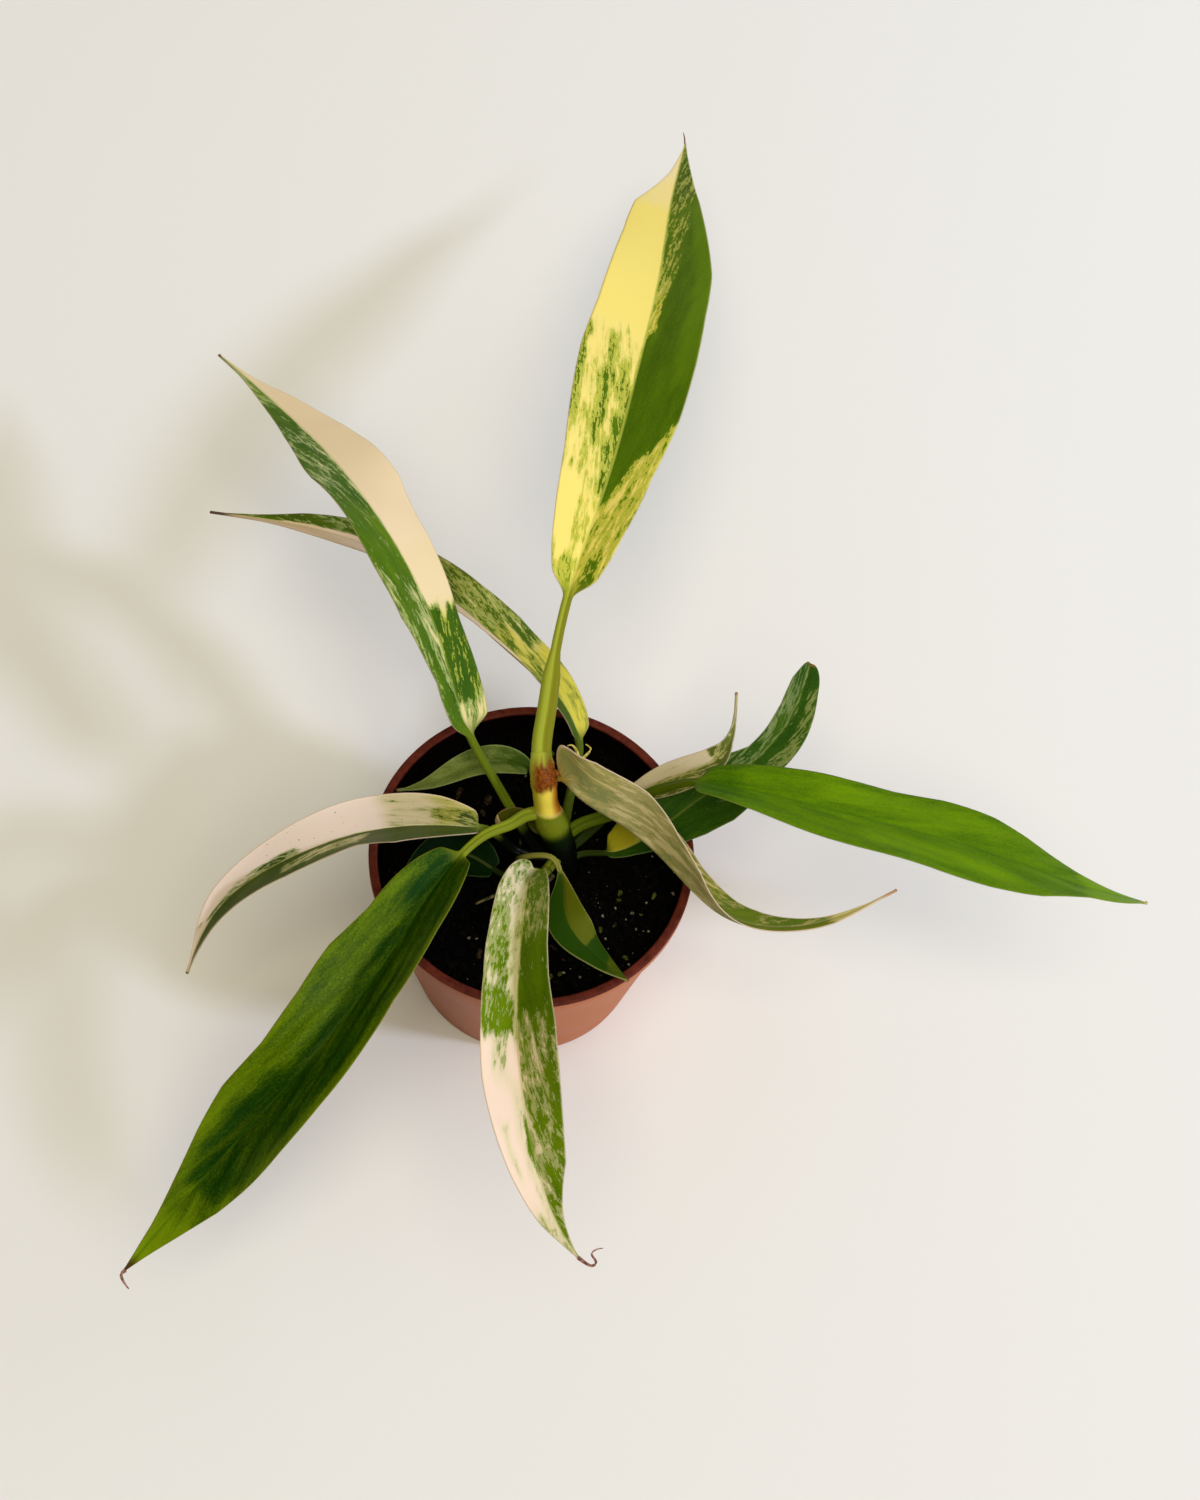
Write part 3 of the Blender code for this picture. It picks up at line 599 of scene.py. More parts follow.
radius = radius + 0.5 * cuff + 0.15 * scar + 0.35 * cork * (0.5 + wrinkle) + 0.05 * wrinkle
rings = round_rings(line, side, up, radius, sides)
bands = np.stack([cuff, cork, scar], axis=-1)
right = np.broadcast_to(np.cos(angle), (rows, sides))
stem = rings_object("stem_surface", rings[:, ::-1], {"bands": bands[:, ::-1], "right": right[:, ::-1]})
print("stem:", rows, "rings of", sides, "points")

# %% [markdown]
# Young stems are smooth and waxy. Colour follows the bands worked out with the surface, so it is exact at the
# cuff's edge, and stretched noise adds the faint lengthwise fibres. A mask rises from 0 to 1 between two values
# of a height, a side or a noise. Each row of the layers names a tone, the tone or hex colour that lies below,
# the one above it, and the mask that mixes them, so the table reads as a painter works, from the ground up.

# %% Stem finish
stem_skin, tree, shader = new_finish("waxy_green_stem")
where = add_node(tree, "TexCoord").outputs["Object"]
z = add_node(tree, "SeparateXYZ", {0: where}).outputs[2]
stem_bands = add_node(tree, "Attribute", attribute_name="bands").outputs["Vector"]
cuff_band, cork_band, scar_band = add_node(tree, "SeparateXYZ", {0: stem_bands}).outputs
stretched = add_node(tree, "Mapping", {"Vector": where, "Scale": (1400.0, 1400.0, 160.0)})
fibre = add_node(tree, "TexNoise", {"Vector": stretched, "Scale": 1.0, "Detail": 4.0}).outputs["Fac"]
right_side = add_node(tree, "Attribute", attribute_name="right").outputs["Fac"]

# Painted light: lit_gold makes the gold lighter on the right. Painted shade: above_shade blackens the stem's
# foot.
STEM_MASKS = {
    "lit_gold": (right_side, -0.7, 0.1), "turned_gold": (right_side, 0.45, 0.95),
    "above_shade": (z, 0.097, 0.104), "joint": (z, 0.107, 0.109), "cuff_foot": (z, 0.106, 0.101),
    "leaf_right": (right_side, -0.1, 0.6), "leaf_stalk": (z, 0.1240, 0.1265),
    "light_cork": (fibre, 0.36, 0.70), "cork_right": (right_side, -1.3, -0.3)}
share = {"fibre": fibre, "cuff": cuff_band}
for title, (value, low, high) in STEM_MASKS.items():
    share[title] = add_node(tree, "MapRange", {0: value, 1: low, 2: high}, interpolation_type="SMOOTHSTEP")
share["cork"] = add_node(tree, "Math", {0: cork_band, 1: share["cork_right"]}, operation="MULTIPLY")
share["scar"] = add_node(tree, "Math", {0: scar_band, 1: 0.7}, operation="MULTIPLY")

STEM_LAYERS = [
    ("gold", "B0A42C", "F0D850", "lit_gold"), ("gold", "gold", "B4741C", "turned_gold"),
    ("stem", "020401", "0A1A03", "above_shade"), ("stem", "stem", "gold", "joint"),
    ("olive", "828A1C", "5C6A10", "fibre"), ("olive", "olive", "2C3E08", "cuff_foot"),
    ("stem", "stem", "olive", "cuff"),
    ("leafy", "B0B83A", "7E7E14", "leaf_right"), ("stem", "stem", "leafy", "leaf_stalk"),
    ("corky", "6A3208", "965218", "light_cork"), ("stem", "stem", "corky", "cork"),
    ("stem", "stem", "B8B070", "scar")]
tone = {}
for title, *pair, mask in STEM_LAYERS:
    below, above = [tone[key] if key in tone else hex_colour(key) for key in pair]
    tone[title] = add_node(tree, "MixRGB", {0: share[mask], 1: below, 2: above})
tree.links.new(tone["stem"].outputs[0], shader.inputs["Base Color"])
bump = add_node(tree, "Bump", {"Strength": 0.4, "Distance": 0.0002, "Height": fibre})
tree.links.new(bump.outputs[0], shader.inputs["Normal"])
shader.inputs["Roughness"].default_value = 0.4
shader.inputs["Specular IOR Level"].default_value = 0.08
finished(stem, stem_skin, "green_stem", "stem")
print("stem finish:", len(tree.nodes), "nodes")

# %% [markdown]
# ## Small dry parts
# Plant tissue that dries shrinks and curls. An aerial root grows from the stem's foot over the soil. A brown
# flap of an old sheath stands off the top node, pale shreds of a torn sheath curl beside it, and three leaves
# end in a thin dry thread. Each is a thin tube that tapers along a curved path. Dry tissue has lost its wax, so
# it looks matt, and it is mottled in two browns or two straw tones.

# %% Root, flap, shreds and threads
DRY = dict(rough=0.75, shine=0.05, grain=(4.0, 0.5), most=0.62, relief=(0.5, 0.0002))
root_skin = mottled_finish("dry_root_skin", "2E2A12", "6E6636", 2.0, **DRY)
brown_scale = mottled_finish("brown_papery_scale", "5A2A08", "B4752E", 1.5, **DRY)
pale_shred = mottled_finish("pale_papery_shred", "A89440", "E0D070", 1.2, **DRY)
dry_thread = mottled_finish("dry_leaf_thread", "6E4638", "B08474", 1.5, **DRY)

DRY_PARTS = [
    ("aerial_root", root_skin, "green_stem", 1.0, [1.3, 1.1, 0.8, 0.4],
     [(9, -4, 88), (2, -12, 88.5), (-8, -14.5, 88), (-18, -20, 87.5)]),
    ("node_flap", brown_scale, "green_stem", 0.35, [2.6, 2.4, 1.6, 0.5],
     [(1.5, 18.5, 120.5), (4.5, 19.6, 121.8), (8.0, 20.2, 121.6), (11.5, 19.6, 120.0)]),
    ("node_flap_tip", pale_shred, "green_stem", 0.5, [0.5, 0.6, 0.25],
     [(9.0, 20.3, 121.4), (12.0, 19.9, 120.4), (14.0, 20.6, 120.8)]),
    ("shred_left", pale_shred, "green_stem", 0.4, [0.9, 0.7, 0.5, 0.2],
     [(12.0, 24.0, 125.5), (9.5, 26.5, 126.5), (6.6, 27.6, 127.2), (5.4, 29.0, 126.6)]),
    ("shred_middle", pale_shred, "green_stem", 0.4, [0.9, 0.7, 0.4, 0.2],
     [(12.5, 24.5, 125.5), (12.0, 27.5, 127.0), (9.6, 30.0, 127.8), (8.2, 29.2, 128.6)]),
    ("shred_right", pale_shred, "green_stem", 0.4, [0.8, 0.6, 0.4, 0.2],
     [(13.0, 24.0, 125.5), (15.2, 27.2, 126.8), (16.6, 29.6, 127.6), (14.6, 31.0, 128.0)]),
    ("front_leaf_thread", dry_thread, "cream_marbled_leaf", 0.6, [0.75, 0.5, 0.45, 0.35, 0.15],
     [(34.2, -158.2, 141), (36.6, -159.6, 141.1), (39.6, -160.0, 141), (40.1, -159.3, 141.3),
      (38.4, -156.6, 142.6), (38.9, -155.9, 142.8), (41.8, -154.3, 141.8)]),
    ("left_leaf_thread", dry_thread, "deep_green_leaf", 0.6, [0.8, 0.6, 0.45, 0.2],
     [(-121.2, -165.2, 67.4), (-122.4, -166.6, 67), (-121.6, -168.6, 66.4), (-119, -171.2, 66)]),
    ("tall_leaf_thread", dry_thread, "cream_marbled_leaf", 0.7, [0.5, 0.4, 0.2],
     [(22.7, 359.5, 60.4), (22.3, 364.4, 58.6), (21.4, 368.8, 57.2)])]
for name, finish, slot, flat, radii, points in DRY_PARTS:
    finished(tube(name, points, radii, flat), finish, slot)
print("dry parts:", [part[0] for part in DRY_PARTS])

# %% [markdown]
# ## What a leaf is
# Each leaf is one piece: a round stalk that widens into a long, thin blade folded along its midrib. The form is
# a ring carried along the midrib. For the stalk the ring is an ellipse. For the blade it is the top of a folded
# strip and, below it, the underside with the rib. Over the first few millimetres the one turns into the other.
#
# The strip's half width at a place is place^base times (1 - place)^taper, scaled to its widest place. fold lifts
# both halves and roll turns them together about the midrib, so one formula gives flat, gutter-shaped and
# twisted leaves.

# %% A leaf's foot and its width
STALK_START = -1.2
TIP_HALF_WIDTH = 0.45
ACROSS_COUNT = 41
ACROSS = np.linspace(-1, 1, ACROSS_COUNT)


def at_places(values, place):
    """Read a list of values that stand at even places from 0 to 1."""
    return np.interp(place, np.linspace(0, 1, len(values)), values)


def stalk_foot(height, heading):
    """Two points that start a stalk, square to the stem: one just inside its side, and one further out."""
    line, shares = smooth_path(STEM, 200)
    i = int(np.argmin(np.abs(line[:, 2] - height)))
    radius = np.interp(i / 199, shares, STEM_RADIUS)
    ahead = unit(line[i + 1] - line[i - 1])
    out = np.array((math.cos(math.radians(heading)), math.sin(math.radians(heading)), 0.0))
    out = unit(out - ahead * (out @ ahead))
    start = line[i] + out * (radius + STALK_START)
    return [tuple(start), tuple(start + out * 2.5 + ahead * 0.7)]


def blade_width(place, widest, taper):
    """Share of the full half width: place^base times (1 - place)^taper, scaled to 1 at the widest place."""
    base = taper * widest / (1 - widest)
    peak = widest ** base * (1 - widest) ** taper
    return place ** base * (1 - place) ** taper / peak


def half_widths(in_blade, half_width, widest, taper, begin, margins):
    """Half widths in mm: the formula's times the share read from each side's margin, or the tip's if larger."""
    outline = blade_width(begin + (1 - begin) * in_blade, widest, taper)
    left, right = [at_places(half, in_blade)[:, None] for half in margins]
    return np.maximum(half_width * outline[:, None] * np.where(ACROSS < 0, left, right), TIP_HALF_WIDTH)


print("a blade is", ACROSS_COUNT, "points wide")

# %% [markdown]
# Stations are the places along a leaf where it gets a ring. The blade's curve is tightest at its base and its
# tip, so the stations crowd there. Three directions at each station carry the ring: ahead, sideways and up.

# %% Stations along a leaf
STALK_ROWS = 36
LAST_PLACE = 0.994


def leaf_stations(line, base, roll, stations):
    """Places along a leaf, how far they are into the blade and the stalk, and its course: the line's points
    and its directions ahead, sideways and up.

    A place in the blade is 0.6 of an even share plus 0.2 times (1 - cosine). Sideways is level, and roll turns
    it about ahead by an angle that grows along the stalk."""
    even = np.linspace(0, 1, stations)
    in_blade = 0.6 * even + 0.2 * (1 - np.cos(math.pi * even))
    in_blade[-1] = LAST_PLACE
    place = np.concatenate([np.linspace(0, base, STALK_ROWS)[:-1], base + (1 - base) * in_blade])
    in_blade = np.concatenate([np.zeros(STALK_ROWS - 1), in_blade])
    in_stalk = np.clip(place / base, 0, 1)

    spots = np.linspace(0, 1, len(line))
    centre = np.stack([np.interp(place, spots, line[:, axis]) for axis in range(3)], axis=1)
    ahead = unit(np.stack([np.interp(place, spots, np.gradient(line[:, axis])) for axis in range(3)], axis=1))
    level = unit(np.cross(ahead, (0.0, 0.0, 1.0)))
    upright = np.cross(level, ahead)
    turn = (np.radians(at_places(roll, in_blade)) * in_stalk)[:, None]
    side = level * np.cos(turn) + upright * np.sin(turn)
    up = upright * np.cos(turn) - level * np.sin(turn)
    return place, in_blade, in_stalk, (centre, ahead, side, up)


print("a stalk has", STALK_ROWS, "rings")

# %% [markdown]
# A blade is a sheet that is folded at its midrib and gently waved at its margins. It is worked out first as a
# surface without thickness, and then moved up and down by half its thickness, with the groove and the rib.

# %% Blade surface
BLADE_THICKNESS = 0.7
MARGIN_THINNING = 0.55
RIB_DEPTH, RIB_SPREAD = 1.3, 1.3
GROOVE_DEPTH, GROOVE_SPREAD = 0.35, 0.7
LOBE_END = 0.3
CREASE_ROUNDING, CREASE_SINK = 0.004, 0.063


def folded_surface(course, in_blade, width, half_width, fold, waves, lobe):
    """The blade's middle surface. Each half rises from a rounded crease by the angle fold. The margin's wave is
    a sine along the blade, and lobe draws both halves back at the base by the square of the place across."""
    centre, ahead, side, up = course
    lift = np.radians(at_places(fold, in_blade))[:, None]
    count, height = waves
    ripple = (height * width / half_width * np.sin(2 * math.pi * count * in_blade)[:, None]
              * ACROSS * np.abs(ACROSS))
    back = lobe * ACROSS ** 2 * np.clip(1 - in_blade / LOBE_END, 0, 1)[:, None] ** 2
    crease = np.sqrt(ACROSS ** 2 + CREASE_ROUNDING) - CREASE_SINK
    reach = width * ACROSS * np.cos(lift)
    rise = width * crease * np.sin(lift) + ripple
    return (centre[:, None] + reach[..., None] * side[:, None] + rise[..., None] * up[:, None]
            - back[..., None] * ahead[:, None])


def blade_rings(surface, in_blade, aside, bulge):
    """Top and underside of the blade, half its thickness off its bulged middle. The midrib is a groove above
    and a rib below, each a bell curve of the distance from the midrib."""
    normal = unit(np.cross(np.gradient(surface, axis=1), np.gradient(surface, axis=0)))
    surface = surface + normal * bulge[..., None]
    groove = GROOVE_DEPTH * np.exp(-(aside / GROOVE_SPREAD) ** 2) * (1 - 0.7 * in_blade)[:, None]
    rib = RIB_DEPTH * (1 - 0.8 * in_blade)[:, None] * np.exp(-(aside / RIB_SPREAD) ** 2)
    half = BLADE_THICKNESS / 2 * (1 - MARGIN_THINNING * np.abs(ACROSS) ** 6)
    top = surface + normal * (half - groove)[..., None]
    bottom = surface - normal * (half + rib)[..., None]
    return np.concatenate([top, bottom[:, ::-1]], axis=1)


print("a blade is", BLADE_THICKNESS, "mm thick")

# %% [markdown]
# A stalk is round with a shallow channel on top. The whole leaf is its stalk's rings, which turn into the
# blade's rings where the blade begins. What the finish needs to know of each point is kept with the rings.

# %% Stalk and whole leaf
ROUND_STALK = ((2.6, 2.2), (1.6, 1.5))
THIN_STALK = ((1.3, 1.3), (1.1, 1.1))
LINE_POINTS = 900
BASE_BLEND = 0.04
VEIN_ANGLE = 9.0
QUILT_SPREAD = 1.15


def stalk_rings(course, in_stalk, stalk_size):
    """Ellipses round the stalk, pressed in at the top by a bell curve of the angle. stalk_size holds pairs of
    half width and half depth in mm, at even places from the foot to the blade."""
    centre, _, side, up = course
    angles = math.pi * (1 - (np.arange(ACROSS_COUNT) + 0.5) / ACROSS_COUNT)
    angles = np.concatenate([angles, -angles[::-1]])
    sizes = np.array(stalk_size)
    half_wide, half_deep = [at_places(sizes[:, k], in_stalk)[:, None] for k in (0, 1)]
    channel = 1 - 0.3 * np.exp(-((angles - math.pi / 2) / 0.45) ** 2)
    return (centre[:, None] + (half_wide * np.cos(angles) * channel)[..., None] * side[:, None]
            + (half_deep * np.sin(angles) * channel)[..., None] * up[:, None])


def leaf_form(blade, half_width, stalk, foot=None, widest=0.42, taper=0.9, begin=0.0, lobe=2, roll=(0, 0),
              fold=(20, 20, 15), margins=((1,), (1,)), waves=(3, 0.8), stalk_size=ROUND_STALK, stations=200,
              quilt=0.0):
    """Rings of points along a leaf in mm, with each point's place, side and distances for its finish.

    A ring is the stalk's times (1 - share) plus the blade's times share, and share is an S curve of the place.
    Veins leave the midrib at a small angle, so along and off them are the distances along and aside, turned.
    margins holds, at even places, what share of its formula width the left and the right half reach."""
    start = stalk_foot(*foot) if foot else []
    line, shares = smooth_path(start + stalk + blade, LINE_POINTS)
    base = shares[len(start) + len(stalk)]
    length = np.linalg.norm(np.diff(line, axis=0), axis=1).sum()
    place, in_blade, in_stalk, course = leaf_stations(line, base, roll, stations)
    width = half_widths(in_blade, half_width, widest, taper, begin, margins)
    surface = folded_surface(course, in_blade, width, half_width, fold, waves, lobe)

    along = (in_blade * (1 - base) * length)[:, None] + 0 * ACROSS
    aside = width * np.abs(ACROSS)
    slant = math.radians(VEIN_ANGLE)
    vein_along = along * math.cos(slant) + aside * math.sin(slant)
    vein_off = along * math.sin(slant) - aside * math.cos(slant)
    bulge = (quilt * np.sin(vein_off / QUILT_SPREAD) * np.abs(ACROSS) * (1 - np.abs(ACROSS)) * 4
             * np.minimum(width / half_width, 1))
    share = step_up(in_blade / BASE_BLEND, 0, 1)[:, None]
    rings = (stalk_rings(course, in_stalk, stalk_size) * (1 - share[..., None])
             + blade_rings(surface, in_blade, aside, bulge) * share[..., None])

    def both(field):
        """A value at each point of the ring's top, and the same ones mirrored on its underside."""
        field = field + 0 * width
        return np.concatenate([field, field[:, ::-1]], axis=1)

    facts = {"place": both(in_blade[:, None]), "side": both(ACROSS), "edge": both(width - aside),
             "aside": both(aside), "reach": both(in_stalk[:, None] + share), "vein_along": both(vein_along),
             "vein_off": both(vein_off), "to_tip": both(length * (1 - place[:, None])),
             "under": np.concatenate([0 * width, 1 + 0 * width], axis=1)}
    return rings, facts


print("leaf form ready:", 2 * ACROSS_COUNT, "points a ring")

# %% [markdown]
# ## How variegation is painted
# A variegated leaf is a mosaic: cells that lost their green pigment divided in lines, so cream and green lie in
# streaks along the veins, with ragged ends. Here a few soft-edged zones say how much pigment, yellow and young
# green each part of a blade has. The finish then breaks their borders up with noise stretched along the veins.


# %% Zones on a blade
def soft_window(value, low, high, low_blur, high_blur):
    """1 between low and high, 0 outside, with an S curve of that half width at each end."""
    rise = step_up(value, low - low_blur, low + low_blur)
    return rise * (1 - step_up(value, high - high_blur, high + high_blur))


def paint_zones(ground, zones, facts):
    """Pigment, yellow and youth at each point. A zone is (from, to, left side, right side, slant, values): it
    lies between two places and two sides, and slant moves its ends towards the tip at the margin. Noise along
    the veins bends its borders, but not the one on the midrib, where the two halves of a leaf meet sharply."""
    along, off, side = facts["vein_along"], facts["vein_off"], facts["side"]
    place = (facts["place"] + 0.010 * soft_noise(off, along / 9, 1.6, 31)
             + 0.014 * soft_noise(off, along / 5, 4.0, 32))
    away = np.minimum(np.abs(side) / 0.15, 1)
    bent = side + away * (0.07 * soft_noise(along, off * 4, 14.0, 33)
                          + 0.04 * soft_noise(along, off * 4, 5.0, 34))
    value = np.broadcast_to(np.array(ground, float), (*place.shape, 3))
    for start, end, left, right, slant, amounts in zones:
        blurs = [0.02 if limit == 0 else 0.10 for limit in (left, right)]
        share = (soft_window(place - slant * np.abs(side), start, end, 0.022, 0.022)
                 * soft_window(bent, left, right, *blurs))
        value = value * (1 - share[..., None]) + np.array(amounts, float) * share[..., None]
    return value


RIGHT_HALF_SHIFT = (137.0, 61.0)


def corner_uv(facts):
    """Vein coordinates in mm at each quad's corners, with the right half shifted so that it isn't a mirror."""
    rows, size = facts["side"].shape
    faces = ring_faces(rows, size)
    along, off = facts["vein_along"].ravel()[faces], facts["vein_off"].ravel()[faces]
    on_right = facts["side"].ravel()[faces].mean(axis=1, keepdims=True) > 0
    return np.stack([along + RIGHT_HALF_SHIFT[0] * on_right, off + RIGHT_HALF_SHIFT[1] * on_right], axis=-1)


print("zones ready")

# %% [markdown]
# ## The leaf finish
# A leaf is a waxy, faintly translucent sheet. The shader builds its colour in the order the plant does: cream
# tissue first, a pale layer where only the deep cells are green, full green over that, then the pale midrib, the
# thin pinkish margin, a few brown specks, the duller underside and the stalk, whose foot is painted dark as
# painted shade. A fine bump gives the veins. The masks and layers are tables, as on the stem, and each noise
# has its grain's length and width in millimetres.

# %% Leaf finish
RIDGE_SPACING = 0.2566


def leaf_finish(name, cream="F3D9B0", lemon="F6E070", pale="9FAA62", pale_lemon="B5B83A", fresh="6E8F10",
                deep="24490A", stalk="7E8A22", under="8F8F5E", under_share=0.55, margin="DCC3A0",
                margin_share=0.5, rib="A9B050", rib_share=0.3, specks=0.0, stripes=0.5, ragged=1.0,
                rough=0.45, shine=0.05, streak_size=(15.0, 1.9), stalk_right=None, stalk_dark=0.0,
                tip="8A6A3A", dry=2.0):
    """The finish of one leaf: tones laid over one another, each in the share that its mask gives.

    ragged scales how far noise moves the borders, and stripes how far green varies. streak_size is the length
    and width of the streaks in mm, stalk_right the tone of the stalk's right side, stalk_dark the share of the
    stalk painted dark from its foot up as painted shade, and dry the length of the dried tip in mm."""
    finish, tree, shader = new_finish(name)
    zone = add_node(tree, "Attribute", attribute_name="zone").outputs["Vector"]
    pigment, yellow, young = add_node(tree, "SeparateXYZ", {0: zone}).outputs
    near = add_node(tree, "Attribute", attribute_name="near").outputs["Vector"]
    edge, aside, reach = add_node(tree, "SeparateXYZ", {0: near}).outputs
    parts = add_node(tree, "Attribute", attribute_name="parts").outputs["Vector"]
    below, side, to_tip = add_node(tree, "SeparateXYZ", {0: parts}).outputs
    veins = add_node(tree, "UVMap", uv_map="veins").outputs[0]

    grains = {"streaks": (*streak_size, 6.0, 0.62), "blotches": (20.0, 6.0, 3.0, 0.6),
              "flecks": (3.0, 0.9, 4.0, 0.7), "cells": (0.9, 0.6, 3.0, 0.7), "bands": (38.0, 7.0, 2.0, 0.6),
              "fibres": (9.0, 0.7, 3.0, 0.6)}
    if specks:
        grains["spots"] = (1.6, 1.1, 2.0, 0.5)
    noise = {}
    for title, (along, off, detail, roughness) in grains.items():
        scaled = add_node(tree, "Mapping", {"Vector": veins, "Scale": (1 / along, 1 / off, 1.0)})
        noise[title] = add_node(tree, "TexNoise", {"Vector": scaled, "Scale": 1.0, "Detail": detail,
                                                   "Roughness": roughness}).outputs["Fac"]
    # A wave's bands repeat every tenth of pi over its scale.
    ridge_scale = math.pi / 10 / RIDGE_SPACING
    ridges = add_node(tree, "TexWave", {"Vector": veins, "Scale": ridge_scale, "Distortion": 1.2},
                      wave_type="BANDS", bands_direction="Y")
    noise["ridges"] = ridges.outputs["Fac"]

    def stirred(value, **factors):
        """value plus, for each noise that is named, its factor times (the noise less a half)."""
        for title, factor in factors.items():
            centred = add_node(tree, "Math", {0: noise[title], 1: 0.5}, operation="SUBTRACT")
            value = add_node(tree, "Math", {0: centred, 1: factor, 2: value}, operation="MULTIPLY_ADD")
        return value

    layer = stirred(pigment, streaks=1.5 * ragged, blotches=0.9 * ragged, flecks=0.5 * ragged)
    fresh_layer = stirred(layer, flecks=0.9 * ragged, cells=0.35 * ragged)
    young = stirred(young, bands=stripes * 2.0, streaks=stripes * 1.2, flecks=0.5, cells=0.9)

    masks = {"faint": (layer, 0.02, 0.34, 0.35), "thin": (layer, 0.28, 0.36, 1.0),
             "green": (fresh_layer, 0.48, 0.58, 1.0), "young": (young, 0.0, 1.0, 1.0),
             "rib": (aside, 0.9, 0.3, rib_share), "margin": (edge, 0.45, 0.1, margin_share),
             "dried": (to_tip, dry, 0.4 * dry, 0.9), "stalk_right": (side, -0.1, 0.35, 1.0),
             "fibres": (noise["fibres"], 0.35, 0.65, 0.3)}
    if specks:
        masks["specks"] = (noise["spots"], 0.80 - 0.1 * specks, 0.84 - 0.1 * specks, 1.0)
    # Painted shade: the stalk darkens from its foot up, deep in the pot.
    if stalk_dark:
        masks["shaded_foot"] = (reach, stalk_dark, 0.7 * stalk_dark, 1.0)
    share = {"yellow": yellow}
    for title, (value, low, high, most) in masks.items():
        share[title] = add_node(tree, "MapRange", {0: value, 1: low, 2: high, 4: most},
                                interpolation_type="SMOOTHSTEP")
    share["under"] = add_node(tree, "Math", {0: below, 1: under_share}, operation="MULTIPLY")
    share["blade"] = add_node(tree, "Math", {0: reach, 1: 1.0}, operation="SUBTRACT", use_clamp=True)

    layers = [("tissue", cream, lemon, "yellow"), ("thin", pale, pale_lemon, "yellow"),
              ("full", deep, fresh, "young"), ("blade", "tissue", "thin", "faint"),
              ("blade", "blade", "thin", "thin"), ("blade", "blade", "full", "green"),
              ("blade", "blade", rib, "rib"), ("blade", "blade", "5B3A20", "specks"),
              ("blade", "blade", under, "under"), ("blade", "blade", margin, "margin"),
              ("blade", "blade", tip, "dried"), ("stalk", stalk, stalk_right or stalk, "stalk_right"),
              ("stalk", "stalk", "2E3A08", "fibres"), ("stalk", "stalk", "080C04", "shaded_foot"),
              ("leaf", "stalk", "blade", "blade")]
    tone = {}
    for title, *pair, mask in layers:
        if mask in share:
            under_tone, over_tone = [tone[key] if key in tone else hex_colour(key) for key in pair]
            tone[title] = add_node(tree, "MixRGB", {0: share[mask], 1: under_tone, 2: over_tone})
    tree.links.new(tone["leaf"].outputs[0], shader.inputs["Base Color"])

    height = stirred(0.5, ridges=0.35, flecks=0.35)
    bump = add_node(tree, "Bump", {"Strength": 0.35, "Distance": 0.0002, "Height": height})
    tree.links.new(bump.outputs[0], shader.inputs["Normal"])
    gloss = add_node(tree, "MapRange",
                     {0: noise["blotches"], 1: 0.3, 2: 0.7, 3: rough - 0.06, 4: rough + 0.08})
    tree.links.new(gloss.outputs[0], shader.inputs["Roughness"])
    shader.inputs["Specular IOR Level"].default_value = shine
    shader.inputs["Subsurface Weight"].default_value = 0.05
    shader.inputs["Subsurface Radius"].default_value = (0.8, 0.9, 0.25)
    shader.inputs["Subsurface Scale"].default_value = 0.001
    return finish


def grow(name, node, slot, shape, ground, zones, **look):
    """Build one leaf from its shape and zones, and dress it."""
    rings, facts = leaf_form(**shape)
    zone = paint_zones(ground, zones, facts)
    near = np.stack([facts["edge"], facts["aside"], facts["reach"]], axis=-1)
    parts = np.stack([facts["under"], facts["side"], facts["to_tip"]], axis=-1)
    leaf = rings_object(name, rings, {"zone": zone, "near": near, "parts": parts}, corner_uv(facts))
    finished(leaf, leaf_finish("leaf_blade_" + name, **look), slot, node)
    print(name, "has", 2 * len(leaf.data.polygons), "triangles")


print("leaf finish ready")

# %% [markdown]
# ## The tall leaf
# The newest leaf leans far back. Its left half is lemon yellow with green streaks low down, and its right half is
# dark green with a mottled zone along the midrib near the tip.

